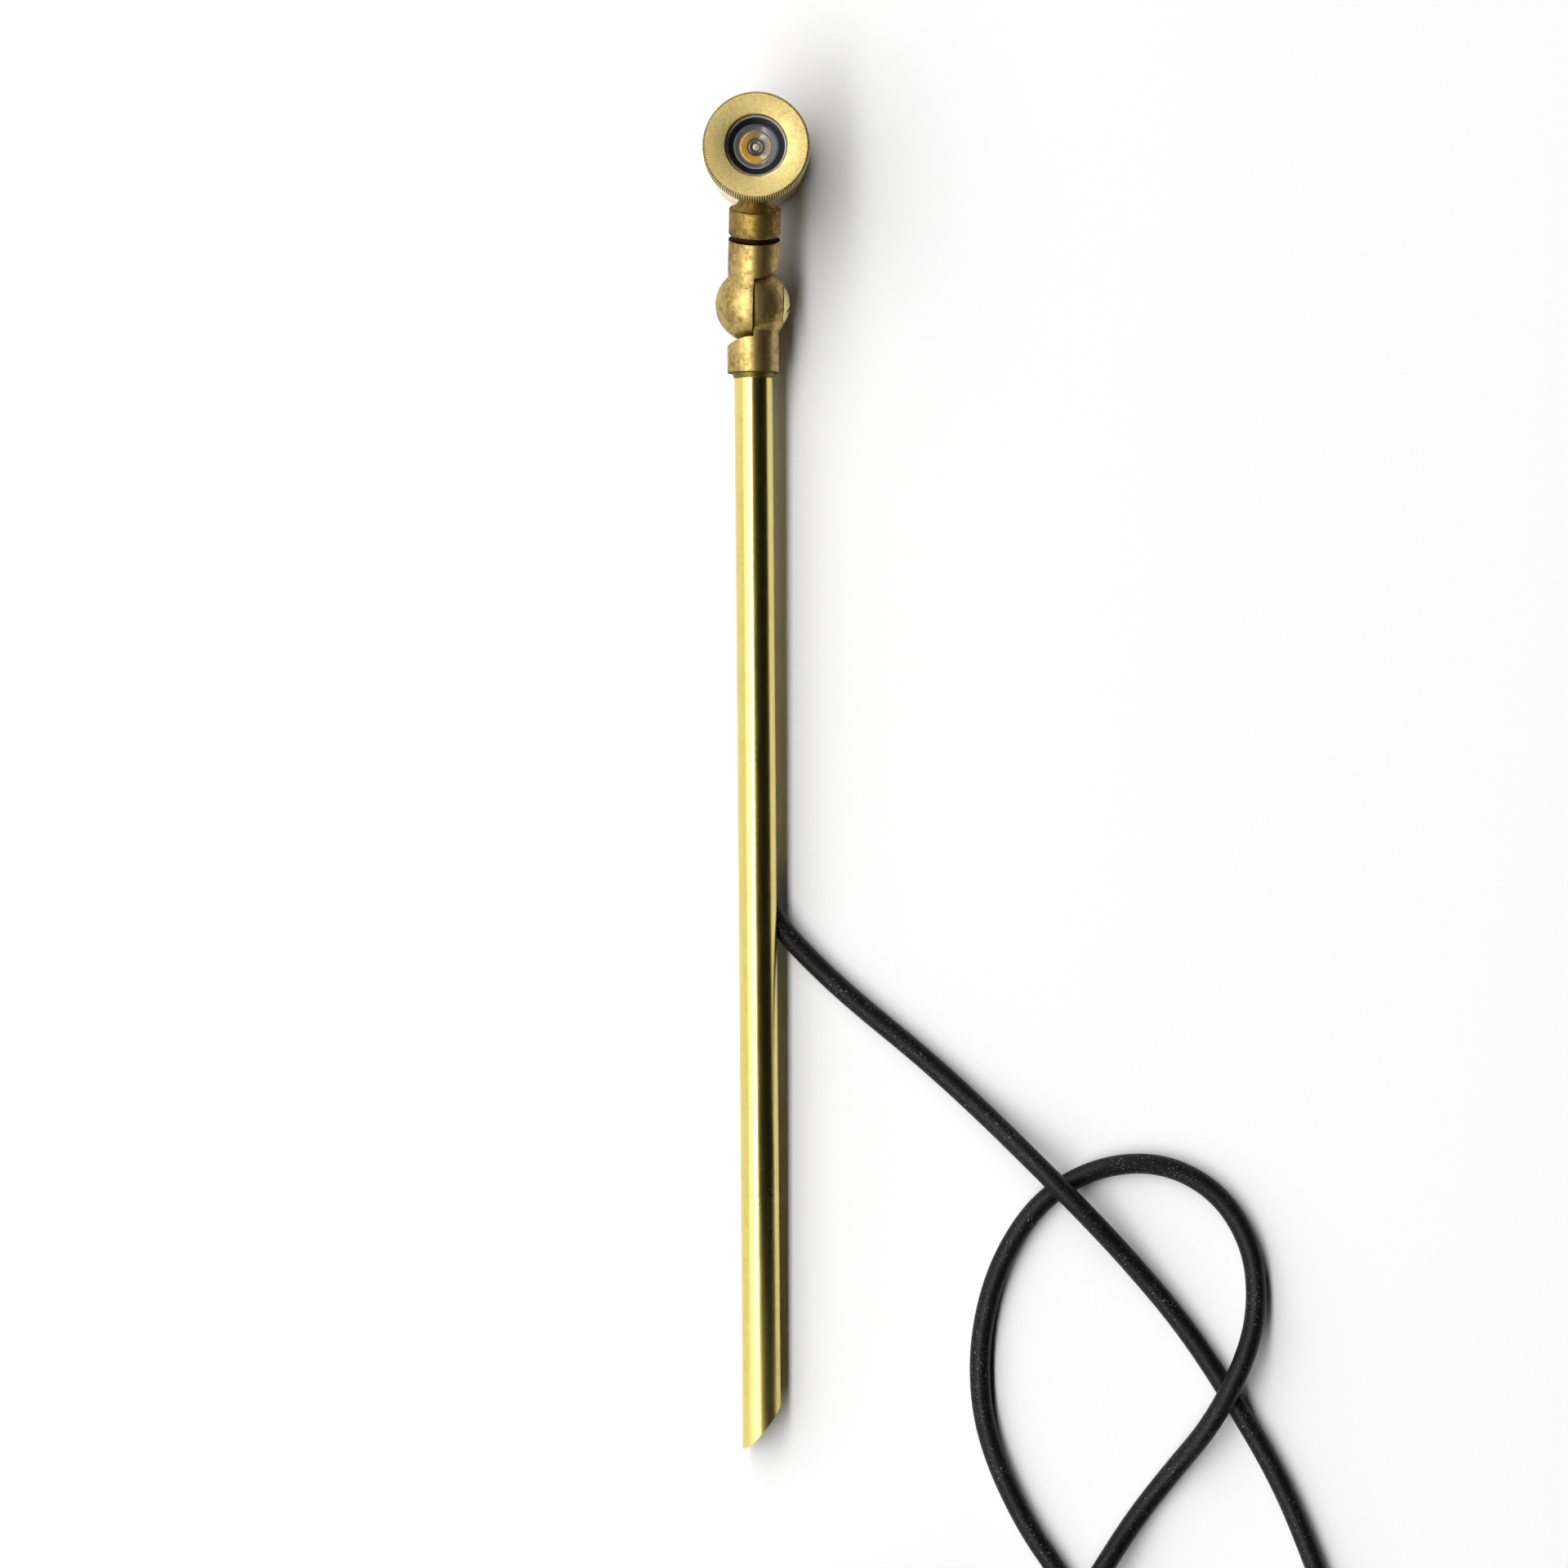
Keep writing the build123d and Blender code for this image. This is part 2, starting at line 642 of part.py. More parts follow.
def head_wires():
    """From the swivel's end down to the driver."""
    wires = []
    level = head_reach - driver_wire_place
    top = ball_radius + level * arm_slope
    for side in (-0.5, 0.5):
        shift = side * conductor_spacing
        start = hinge_centre + arm_axis * (nut_end + 2 * end_clearance) + hinge_axis * shift
        corner = hinge_centre + arm_level * level + hinge_axis * shift
        corner = Vector(corner.X, corner.Y, top)
        foot = Vector(corner.X, corner.Y, body_floor + driver_height)
        path = FilletPolyline(start, corner, foot, radius=2 * conductor_diameter)
        wires.append(swept(path, conductor_diameter / 2))
    return Compound(wires)


def led_wires():
    wires = []
    for side in (-0.5, 0.5):
        wire = rod(conductor_diameter / 2, body_floor + driver_height, board_back)
        wires.append(Pos(side * conductor_spacing, led_wire_place, 0) * wire)
    return placed(Compound(wires), head_frame)


# --- lead ---
def cable_inner():
    end = (Vector(*cord_route[0]) - hinge_centre).length
    return placed(rod(cord_radius, sheath_end_reach, end), tube_frame)


def sheath_sleeve():
    start = sheath_end_reach
    outer = cord_radius + sleeve_wall
    return placed(ring(outer, cord_radius, start, start + sleeve_length), tube_frame)


def cable_free():
    path, radii = bent_path(cord_route)
    cord = swept(path, cord_radius)
    print("lead, radii at its corners:", [round(radius) for radius in radii])
    print("lead, volume over section times length:", cord.volume / (math.pi * cord_radius**2 * path.length))
    print("lead, free length:", round(path.length))
    return cord


def coil_start():
    """Where the coil's turns begin, and the heading there."""
    before, last = Vector(*cord_route[-2]), Vector(*cord_route[-1])
    heading = (last - before).normalized()
    return last + heading * coil_lead_in, heading


def coil_point(turns):
    """Point of the coil's centreline: inwards on the lower layer, then outwards on the upper one."""
    start, heading = coil_start()
    turns_in = round(quarters_in) / 4
    inner_radius = coil_outer_radius - coil_pitch * turns_in
    radius = inner_radius + coil_pitch * abs(turns - turns_in)
    climb = min(max((turns - turns_in) * 2 + 0.5, 0), 1)
    height = start.Z + coil_layer * climb * climb * (3 - 2 * climb)
    lean = math.atan(coil_pitch / (2 * math.pi * coil_outer_radius))
    first = math.atan2(heading.Y, heading.X) + math.pi / 2 + lean
    angle = first - 2 * math.pi * turns
    centre_x = start.X - coil_outer_radius * math.cos(first)
    centre_y = start.Y - coil_outer_radius * math.sin(first)
    return Vector(centre_x + radius * math.cos(angle), centre_y + radius * math.sin(angle), height)


def coil_heading(turns):
    """Direction of the coil's centreline."""
    step = 0.001
    return (coil_point(turns + step) - coil_point(turns - step)).normalized()


def biarc(start, start_heading, end, end_heading):
    """Two tangent arcs between two points with given headings."""
    chord = end - start
    spread = 2 * (1 - start_heading.dot(end_heading))
    along = chord.dot(start_heading + end_heading)
    reach = (math.sqrt(along * along + spread * chord.dot(chord)) - along) / spread
    middle = (start + end) * 0.5 + (start_heading - end_heading) * (reach / 2)
    first = TangentArc(start, middle, tangent=start_heading)
    second = TangentArc(middle, end, tangent=middle - start - start_heading * reach)
    return [first, second]


def cable_coil():
    lead_start = Vector(*cord_route[-1])
    edges = [Line(lead_start, coil_point(0))]
    for quarter in range(quarters):
        here, there = quarter / 4, (quarter + 1) / 4
        start_heading = coil_start()[1] if quarter == 0 else coil_heading(here)
        edges += biarc(coil_point(here), start_heading, coil_point(there), coil_heading(there))
    last = coil_point(quarters / 4)
    edges.append(Line(last, last + coil_heading(quarters / 4) * coil_lead_in))
    path = Wire([edge.edge() for edge in edges])
    coil = swept(path, cord_radius)
    steps = 600
    points = [path @ (number / steps) for number in range(steps + 1)]
    apart = round(3 * cord_diameter / path.length * steps)
    gaps = [
        (first - second).length - cord_diameter
        for number, first in enumerate(points)
        for second in points[number + apart:]
    ]
    print("coil, least gap to itself:", round(min(gaps), 2), "length:", round(path.length))
    print("coil, volume over section times length:", coil.volume / (math.pi * cord_radius**2 * path.length))
    return coil


def coil_tie():
    """Flat strap round all the turns at one place."""
    turns = tie_turn
    outermost = coil_point(turns)
    centre = (coil_point(turns) + coil_point(turns + 0.5)) * 0.5
    outward = Vector(outermost.X - centre.X, outermost.Y - centre.Y, 0).normalized()
    innermost = coil_point(turns + 1)
    reach_out = (outermost - innermost).length / 2 + cord_radius + tie_clearance * 3
    base = outermost.Z - cord_radius - tie_clearance
    top = outermost.Z + coil_layer + cord_radius + tie_clearance
    middle = (outermost + innermost) * 0.5
    frame = Plane(
        origin=(middle.X, middle.Y, (base + top) / 2), x_dir=outward, z_dir=outward.cross(Vector(0, 0, 1))
    )
    width, height = 2 * reach_out, top - base
    outside = RectangleRounded(width + 2 * tie_wall, height + 2 * tie_wall, tie_corner + tie_wall)
    strap = outside - RectangleRounded(width, height, tie_corner)
    return placed(extrude(strap, amount=tie_width / 2, both=True), frame)


def lead_end_frame():
    turns = quarters / 4
    heading = coil_heading(turns)
    return Plane(origin=coil_point(turns) + heading * coil_lead_in, x_dir=(0, 0, 1), z_dir=heading)


def core(side):
    wire = rod(core_diameter / 2, 0, core_length)
    return placed(Pos(0, side * core_spacing / 2, 0) * wire, lead_end_frame())


def core_ferrules():
    sleeves = []
    collar_end = core_length + ferrule_collar_length
    for side in (-0.5, 0.5):
        collar = rod(ferrule_collar_diameter / 2, core_length, collar_end)
        pin = rod(ferrule_pin_diameter / 2, collar_end, collar_end + ferrule_pin_length)
        sleeves.append(Pos(0, side * core_spacing, 0) * (collar + pin))
    return placed(Compound(sleeves), lead_end_frame())


def core_brown():
    return core(1)


def core_blue():
    return core(-1)


pieces = [
    spike_tube, slot_grommet, tube_collar, lower_knuckle, spring_washer, hinge_oring, friction_washer,
    upper_knuckle, hinge_bolt, swivel_stem, swivel_nut, swivel_oring, head_neck, head_body, bezel_ring,
    bezel_oring, front_glass, glass_gasket, trim_ring, lens_baffle, optic_lens, lens_holder, led_board,
    led_emitter, led_screws, heat_sink, driver_module, tube_wires, stem_wires, head_wires, led_wires,
    cable_inner, sheath_sleeve, cable_free, cable_coil, coil_tie, core_brown, core_blue, core_ferrules,
]

os.makedirs("parts", exist_ok=True)
for piece in pieces:
    export_step(piece(), f"parts/{piece.__name__}.step")
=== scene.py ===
import json
import math

import bmesh
import bpy
import numpy as np
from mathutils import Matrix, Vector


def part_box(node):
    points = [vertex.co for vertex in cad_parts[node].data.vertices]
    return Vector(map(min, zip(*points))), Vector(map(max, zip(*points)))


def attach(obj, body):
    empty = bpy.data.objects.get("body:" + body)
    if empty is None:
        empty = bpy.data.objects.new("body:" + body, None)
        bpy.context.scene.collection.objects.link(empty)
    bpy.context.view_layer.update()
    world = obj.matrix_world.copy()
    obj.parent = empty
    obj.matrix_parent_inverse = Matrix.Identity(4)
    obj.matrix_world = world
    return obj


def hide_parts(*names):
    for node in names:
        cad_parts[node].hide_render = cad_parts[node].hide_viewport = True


# Garden spike spotlight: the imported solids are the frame, and the pieces that show are made smooth here.
# Profiles and routes are in millimetres, and become metres as they are put in place.

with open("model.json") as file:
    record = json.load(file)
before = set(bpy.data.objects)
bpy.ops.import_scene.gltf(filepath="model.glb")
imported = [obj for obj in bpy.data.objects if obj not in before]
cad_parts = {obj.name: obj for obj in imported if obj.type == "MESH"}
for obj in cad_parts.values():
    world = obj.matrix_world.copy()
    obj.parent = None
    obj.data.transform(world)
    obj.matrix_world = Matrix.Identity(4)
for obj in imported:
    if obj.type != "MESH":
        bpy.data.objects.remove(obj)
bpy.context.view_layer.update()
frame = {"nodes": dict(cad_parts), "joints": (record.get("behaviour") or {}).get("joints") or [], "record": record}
nodes = frame["nodes"]
millimetre = 0.001
joints = {joint["name"]: joint for joint in frame["joints"]}
mounts = {mount["name"]: mount for mount in frame["record"]["mounts"]}
print("frame loaded:", len(nodes), "nodes")


# Camera.
camera = {
    "place": (0.00867, -0.00265, 1.9),
    "turn": (0.0, 0.0, -0.4536),  # degrees
    "lens": 111.6,
    "sensor": 36.0,
}


def addCamera():
    data = bpy.data.cameras.new("photoCamera")
    data.lens = camera["lens"]
    data.sensor_width = camera["sensor"]
    data.clip_start = 0.05
    data.clip_end = 50.0
    item = bpy.data.objects.new("photoCamera", data)
    item.location = camera["place"]
    item.rotation_euler = [math.radians(angle) for angle in camera["turn"]]
    bpy.context.collection.objects.link(item)
    bpy.context.scene.camera = item


addCamera()


# Where things are: each place is an origin in metres and three axes as rows.
def placeAt(origin, xAxis, zAxis):
    zAxis = np.array(zAxis, float) / np.linalg.norm(zAxis)
    xAxis = np.array(xAxis, float) - zAxis * np.dot(xAxis, zAxis)
    xAxis = xAxis / np.linalg.norm(xAxis)
    return np.array(origin, float), np.stack([xAxis, np.cross(zAxis, xAxis), zAxis])


hingeCentre = np.array(joints["knuckle_tilt"]["pos_m"])
hingeAxis = np.array(joints["knuckle_tilt"]["axis"])
armAxis = np.array(joints["head_swivel"]["axis"])
tubeAxis = np.array(mounts["spike_shank"]["axis"])
headLow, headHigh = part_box("head_body")
headCentre = np.array([(headLow.x + headHigh.x) / 2, (headLow.y + headHigh.y) / 2, 0.0])

hingePlace = placeAt(hingeCentre, (0, 0, 1), hingeAxis)
tubePlace = placeAt(hingeCentre, (1, 0, 0), tubeAxis)
armPlace = placeAt(hingeCentre, hingeAxis, armAxis)
headPlace = placeAt(headCentre, (1, 0, 0), (0, 0, 1))


# Surfaces. A profile's corners are (radius, height) or (radius, height, rounding). A rounded corner
# becomes the quadratic curve (1-t)^2 A + 2t(1-t) C + t^2 B, where A and B lie the rounding's length away
# from the corner C along its two sides.
def roundedOutline(corners, closed=True, steps=5):
    table = np.array([tuple(corner) + (0.0,) * (3 - len(corner)) for corner in corners], float)
    points, rounding = table[:, :2], table[:, 2]
    before = np.roll(points, 1, axis=0) - points
    after = np.roll(points, -1, axis=0) - points
    lengthBefore = np.maximum(np.linalg.norm(before, axis=1), 1e-9)
    lengthAfter = np.maximum(np.linalg.norm(after, axis=1), 1e-9)
    if not closed:
        rounding[[0, -1]] = 0.0
    reach = np.minimum(rounding, 0.49 * np.minimum(lengthBefore, lengthAfter))
    start = points + before * (reach / lengthBefore)[:, None]
    end = points + after * (reach / lengthAfter)[:, None]
    t = np.linspace(0.0, 1.0, steps)[None, :, None]
    curve = (1 - t) ** 2 * start[:, None] + 2 * t * (1 - t) * points[:, None] + t**2 * end[:, None]
    return curve.reshape(-1, 2)


# Points of a circle's arc in a profile: radius r cos a, height h + r sin a, with a from one angle to another.
def arcPoints(height, radius, fromAngle, toAngle, count=40):
    angle = np.radians(np.linspace(fromAngle, toAngle, count))
    return [(radius * math.cos(a), height + radius * math.sin(a)) for a in angle]


# A profile turned round the local Z axis: x = r cos a, y = r sin a, z = height, a row for each point.
def turnedGrid(profile, around=160):
    profile = np.asarray(profile, float)
    angle = np.linspace(0.0, 2 * np.pi, around, endpoint=False)
    radius = profile[:, :1]
    height = np.repeat(profile[:, 1:2], around, axis=1)
    return np.stack([radius * np.cos(angle), radius * np.sin(angle), height], axis=-1)


# A flat outline carried straight from one height to another and closed by its two middles.
def barGrid(outline, start, end):
    outline = np.asarray(outline, float)
    middle = np.repeat(outline.mean(axis=0, keepdims=True), len(outline), axis=0)
    rows = [(middle, start), (outline, start), (outline, end), (middle, end)]
    return np.stack([np.concatenate([row, np.full((len(row), 1), height)], axis=1) for row, height in rows])


# Faces of a grid whose columns close on themselves, and whose rows do where the profile is a loop.
def gridFaces(rows, columns, loop):
    lastRow = rows if loop else rows - 1
    row, column = np.meshgrid(np.arange(lastRow), np.arange(columns), indexing="ij")
    nextRow, nextColumn = (row + 1) % rows, (column + 1) % columns
    corners = [row * columns + column, row * columns + nextColumn]
    corners += [nextRow * columns + nextColumn, nextRow * columns + column]
    return np.stack([corner.ravel() for corner in corners], axis=1)


def cleanMesh(mesh, sharpAngle=32.0):
    work = bmesh.new()
    work.from_mesh(mesh)
    bmesh.ops.remove_doubles(work, verts=work.verts, dist=2e-7)
    bmesh.ops.dissolve_degenerate(work, edges=work.edges, dist=1e-8)
    bmesh.ops.recalc_face_normals(work, faces=work.faces)
    work.to_mesh(mesh)
    work.free()
    mesh.shade_smooth()
    mesh.set_sharp_from_angle(angle=math.radians(sharpAngle))


def addPiece(name, grid, place, loop=True):
    rows, columns = grid.shape[:2]
    origin, axes = place
    points = origin + (grid.reshape(-1, 3) * millimetre) @ axes
    mesh = bpy.data.meshes.new(name)
    mesh.from_pydata(points, [], gridFaces(rows, columns, loop).tolist())
    cleanMesh(mesh)
    item = bpy.data.objects.new(name, mesh)
    bpy.context.collection.objects.link(item)
    return item


def turnedPiece(name, corners, place, loop=True, around=160):
    return addPiece(name, turnedGrid(roundedOutline(corners, loop), around), place, loop)


def rodTool(radius, start, end, place, shift=(0.0, 0.0), rounding=0.0, around=160):
    corners = [(0, start), (radius, start, rounding), (radius, end, rounding), (0, end)]
    grid = turnedGrid(roundedOutline(corners, closed=False), around)
    return addPiece("tool", grid + np.array([shift[0], shift[1], 0.0]), place, loop=False)


# Adds or takes away a closed tool from a closed piece, and leaves one clean mesh.
def join(piece, tool, operation="DIFFERENCE"):
    change = piece.modifiers.new("change", "BOOLEAN")
    change.operation = operation
    change.solver = "EXACT"
    change.object = tool
    view = bpy.context.evaluated_depsgraph_get()
    mesh = bpy.data.meshes.new_from_object(piece.evaluated_get(view))
    piece.modifiers.clear()
    old = piece.data
    piece.data = mesh
    mesh.name = piece.name
    bpy.data.meshes.remove(old)
    bpy.data.objects.remove(tool)
    cleanMesh(mesh)


# Shader arithmetic.
class Value:
    # A socket's value: + - * / and ** on it add the Math node that works the result out.
    def __init__(self, finish, socket):
        self.finish = finish
        self.socket = socket

    def __add__(self, other):
        return self.finish.math("ADD", self, other)

    def __radd__(self, other):
        return self.finish.math("ADD", other, self)

    def __sub__(self, other):
        return self.finish.math("SUBTRACT", self, other)

    def __rsub__(self, other):
        return self.finish.math("SUBTRACT", other, self)

    def __mul__(self, other):
        return self.finish.math("MULTIPLY", self, other)

    def __rmul__(self, other):
        return self.finish.math("MULTIPLY", other, self)

    def __truediv__(self, other):
        return self.finish.math("DIVIDE", self, other)

    def __pow__(self, other):
        return self.finish.math("POWER", self, other)


class Finish:
    # One material. Its plain values are kept in a dictionary and what varies is linked with dress().
    def __init__(self, name, tree=None):
        if tree is None:
            self.material = bpy.data.materials.new(name)
            self.material.use_nodes = True
            tree = self.material.node_tree
        self.tree = tree
        self.tree.nodes.clear()

    def node(self, kind, settings=None, inputs=None, output=0):
        node = self.tree.nodes.new(kind)
        for name, value in (settings or {}).items():
            if name == "stops":
                self.setStops(node.color_ramp, value)
            else:
                setattr(node, name, value)
        for name, value in (inputs or {}).items():
            self.feed(self.find(node.inputs, name), value)
        return Value(self, self.find(node.outputs, output)) if len(node.outputs) else None

    def find(self, sockets, name):
        if isinstance(name, int):
            return sockets[name]
        return next(socket for socket in sockets if name in (socket.identifier, socket.name))

    def feed(self, socket, value):
        if isinstance(value, Value):
            self.tree.links.new(value.socket, socket)
        elif isinstance(value, tuple) and socket.type == "RGBA":
            socket.default_value = (*value[:3], 1.0)
        else:
            socket.default_value = value

    def setStops(self, ramp, stops):
        while len(ramp.elements) < len(stops):
            ramp.elements.new(1.0)
        for element, (position, colour) in zip(ramp.elements, stops):
            element.position = position
            element.color = (*colour, 1.0) if isinstance(colour, tuple) else (colour, colour, colour, 1.0)

    def math(self, operation, first, second=0.0, clamp=False):
        return self.node(
            "ShaderNodeMath", {"operation": operation, "use_clamp": clamp}, {0: first, 1: second},
        )

    def blend(self, factor, first, second):
        inputs = {"Factor_Float": factor, "A_Color": first, "B_Color": second}
        return self.node("ShaderNodeMix", {"data_type": "RGBA"}, inputs, "Result_Color")

    def ramp(self, factor, stops):
        return self.node("ShaderNodeValToRGB", {"stops": stops}, {"Fac": factor})

    def between(self, value, low, high, fromLow=0.0, fromHigh=1.0):
        inputs = {"Value": value, "From Min": low, "From Max": high, "To Min": fromLow, "To Max": fromHigh}
        return self.node("ShaderNodeMapRange", {"clamp": True}, inputs)

    def coordinates(self, centre=(0.0, 0.0, 0.0), turn=(0.0, 0.0, 0.0), stretch=(1.0, 1.0, 1.0)):
        source = self.node("ShaderNodeTexCoord", None, None, "Object")
        inputs = {"Vector": source, "Location": centre, "Rotation": turn, "Scale": stretch}
        return self.node("ShaderNodeMapping", {"vector_type": "TEXTURE"}, inputs)

    def noise(self, vector, scale, detail=3.0, rough=0.55):
        inputs = {"Vector": vector, "Scale": scale, "Detail": detail, "Roughness": rough}
        return self.node("ShaderNodeTexNoise", None, inputs)

    def bump(self, height, distance, strength=1.0, normal=None):
        inputs = {"Height": height, "Distance": distance, "Strength": strength}
        if normal:
            inputs["Normal"] = normal
        return self.node("ShaderNodeBump", None, inputs)

    def dress(self, inputs):
        shader = self.node("ShaderNodeBsdfPrincipled", None, inputs)
        self.node("ShaderNodeOutputMaterial", None, {"Surface": shader})
        return self.material


def eulerTo(axes):
    # Turn that carries the local axes (rows) onto the object's, for a Mapping node.
    matrix = np.array(axes).T
    y = math.asin(max(-1.0, min(1.0, -matrix[2, 0])))
    x = math.atan2(matrix[2, 1], matrix[2, 2])
    z = math.atan2(matrix[1, 0], matrix[0, 0])
    return (x, y, z)


# Finishes.
tubeBrassLook = {
    "clean": (0.78, 0.64, 0.20), "aged": (0.60, 0.44, 0.09), "rough": 0.235, "patina": 0.3, "haze": 0.03,
}
satinBrassLook = {
    "clean": (0.48, 0.355, 0.125), "aged": (0.17, 0.105, 0.025), "rough": 0.40, "patina": 0.9, "haze": 0.18,
}
# The neck's brass: a darker, rougher copy of the satin brass, with the head's shadow on the neck painted into it.
neckShadedBrassLook = {
    "clean": (0.30, 0.205, 0.055), "aged": (0.09, 0.05, 0.01), "rough": 0.46, "patina": 0.95, "haze": 0.18,
}
bodyBrassLook = {
    "clean": (0.66, 0.54, 0.28), "aged": (0.48, 0.36, 0.15), "rough": 0.24, "patina": 0.5, "haze": 0.06,
}
bezelBrassLook = {
    "clean": (0.70, 0.56, 0.23), "aged": (0.46, 0.32, 0.10), "rough": 0.40, "patina": 0.6, "haze": 0.18,
}
boltBrassLook = {
    "clean": (0.66, 0.54, 0.25), "aged": (0.44, 0.32, 0.11), "rough": 0.27, "patina": 0.5, "haze": 0.18,
}


# Where dirt gathers and where shade falls in creases and joints between parts, both painted darker into the
# colour, in millimetres from a place's origin: each band has the parts of the position that bound it, the fade
# past its ends and how dark it is.
tubeDirtAndShade = [{"Z": (26.0, 28.5), "fade": 0.3, "dark": 0.85}]
lowerDirtAndShade = [
    {"X": (0.0, 0.9), "Z": (-15.0, 9.5), "fade": 0.2, "dark": 0.9},
    {"Z": (26.3, 30.0), "fade": 0.2, "dark": 0.8},
]
upperDirtAndShade = [{"Z": (25.9, 27.95), "fade": 0.1, "dark": 0.97}]


# Noise scales are per metre; shares say how far each noise counts.
brassGrain = {
    "cloudScale": 75.0, "blotchScale": 420.0, "markScale": 900.0, "waveScale": 110.0,
    "cloudShare": 0.55, "markShare": 0.2, "speckShare": 0.5,
    "patinaFrom": 0.44, "patinaTo": 0.62, "speckFrom": 0.54, "speckTo": 0.70,
    "grooveFrom": 0.25, "grooveTo": 0.6, "dirtAndShadeColour": 0.1, "markRough": 0.10, "dirtAndShadeRough": 0.25,
}


# Brass: clouds of patina over the clean metal, fine marks drawn out along the local Z axis, small dark
# specks, and dark bands of dirt and painted shade in creases and joints. Painted shade in a knurl's grooves
# follows 0.5 - 0.5 cos(n a), for n grooves and the angle a round its axis.
def brassFinish(
    title, look, place, drawn=14.0, speckScale=1300.0, speckDark=0.45, grain=2e-6, wave=0.0, dirtAndShade=(),
    knurl=None, worn=None,
):
    finish = Finish(title)
    origin, axes = place
    flat = finish.coordinates(tuple(origin), eulerTo(axes))
    long = finish.coordinates(tuple(origin), eulerTo(axes), (1.0, 1.0, drawn))
    grains = brassGrain
    clouds = grains["cloudShare"] * finish.noise(flat, grains["cloudScale"], 4.0, 0.6)
    blotches = (1 - grains["cloudShare"]) * finish.noise(flat, grains["blotchScale"], 3.0, 0.65)
    marks = finish.noise(long, grains["markScale"], 3.0, 0.6)
    specks = finish.noise(flat, speckScale, 2.0, 0.7)
    tarnish = clouds + blotches + grains["markShare"] * (marks - 0.5)
    patina = finish.between(tarnish, grains["patinaFrom"], grains["patinaTo"]) * look["patina"]
    dark = finish.between(specks, grains["speckFrom"], grains["speckTo"]) * speckDark
    parts = {}
    for name in "XYZ":
        parts[name] = finish.node("ShaderNodeSeparateXYZ", None, {"Vector": flat}, name) / millimetre
    # Bands of dirt and painted shade darken the colour where they lie.
    for band in dirtAndShade:
        mask = band["dark"]
        for part in [axis for axis in parts if axis in band]:
            low, high = band[part]
            mask = finish.between(parts[part], low - band["fade"], low) * mask
            mask = finish.between(parts[part], high + band["fade"], high) * mask
        dark = finish.math("MAXIMUM", dark, mask)
    # Painted shade in the knurl's grooves, between the crest and the root.
    if knurl:
        radius = (parts["X"] ** 2.0 + parts["Y"] ** 2.0) ** 0.5
        angle = finish.math("ARCTAN2", parts["Y"], parts["X"])
        groove = 0.5 - 0.5 * finish.math("COSINE", angle * knurl["grooves"])
        inGroove = finish.between(groove, grains["grooveFrom"], grains["grooveTo"])
        grooveShade = finish.between(radius, knurl["inside"], knurl["crest"]) * inGroove * knurl["dark"]
        dark = finish.math("MAXIMUM", dark, grooveShade)
    colour = finish.blend(patina, look["clean"], look["aged"])
    # Specks, dirt and painted shade all blend to the same dark colour, and are rougher there.
    colour = finish.blend(dark, colour, tuple(grains["dirtAndShadeColour"] * part for part in look["aged"]))
    rough = look["rough"] + look["haze"] * patina
    rough = rough + grains["markRough"] * (marks - 0.5) + grains["dirtAndShadeRough"] * dark
    if worn:
        rough = rough + finish.between(parts["Z"], worn["from"], worn["to"]) * worn["rough"]
    relief = finish.bump(marks + grains["speckShare"] * specks, grain)
    if wave:
        relief = finish.bump(finish.noise(long, grains["waveScale"], 2.0), wave, 1.0, relief)
    return finish.dress({"Base Color": colour, "Metallic": 1.0, "Roughness": rough, "Normal": relief})


rubberLook = {
    "colour": (0.003, 0.003, 0.0032), "dust": (0.42, 0.41, 0.40), "dustAmount": 0.5, "shine": 0.2,
    "skinScale": 900.0, "dustScale": 1300.0, "patchScale": 60.0, "relief": 4e-5,
    "dustFrom": 0.62, "dustTo": 0.70, "patchFrom": 0.35, "patchTo": 0.6,
    "rough": 0.36, "skinRough": 0.24, "dustRough": 0.3,
}


# Rubber: a fine skin, with pale dust where small specks fall inside larger patches.
def rubberFinish():
    finish = Finish("blackRubber")
    look = rubberLook
    vector = finish.coordinates()
    skin = finish.noise(vector, look["skinScale"], 3.0)
    dust = finish.noise(vector, look["dustScale"], 2.0, 0.75)
    patches = finish.noise(vector, look["patchScale"], 2.0)
    amount = finish.between(dust, look["dustFrom"], look["dustTo"])
    amount = amount * finish.between(patches, look["patchFrom"], look["patchTo"]) * look["dustAmount"]
    inputs = {
        "Base Color": finish.blend(amount, look["colour"], look["dust"]),
        "Roughness": look["rough"] + look["skinRough"] * skin + look["dustRough"] * amount,
        "Specular IOR Level": look["shine"],
        "Normal": finish.bump(skin, look["relief"]),
    }
    return finish.dress(inputs)


plasticGrain = {"patchFrom": 0.35, "patchTo": 0.7, "fineTimes": 6, "fineRough": 0.12, "relief": 3e-6}


# Plain finishes: two near colours in soft patches, under a fine grain.
def plasticFinish(name, colour, other, rough, scale=400.0, metallic=0.0):
    finish = Finish(name)
    vector = finish.coordinates()
    clouds = finish.noise(vector, scale, 4.0)
    fine = finish.noise(vector, scale * plasticGrain["fineTimes"], 2.0)
    patches = finish.between(clouds, plasticGrain["patchFrom"], plasticGrain["patchTo"])
    mixed = finish.blend(patches, colour, other)
    inputs = {
        "Base Color": mixed,
        "Metallic": metallic,
        "Roughness": rough + plasticGrain["fineRough"] * (fine - 0.5),
        "Normal": finish.bump(fine, plasticGrain["relief"]),
    }
    return finish.dress(inputs)


glassLook = {
    "index": 1.45, "tint": (0.97, 0.98, 0.98), "mirror": (1.0, 1.0, 1.0), "rough": 0.03, "mirrorShare": 0.8,
    "dustScale": 900.0, "dustFrom": 0.66, "dustTo": 0.8, "dust": 0.1,
}


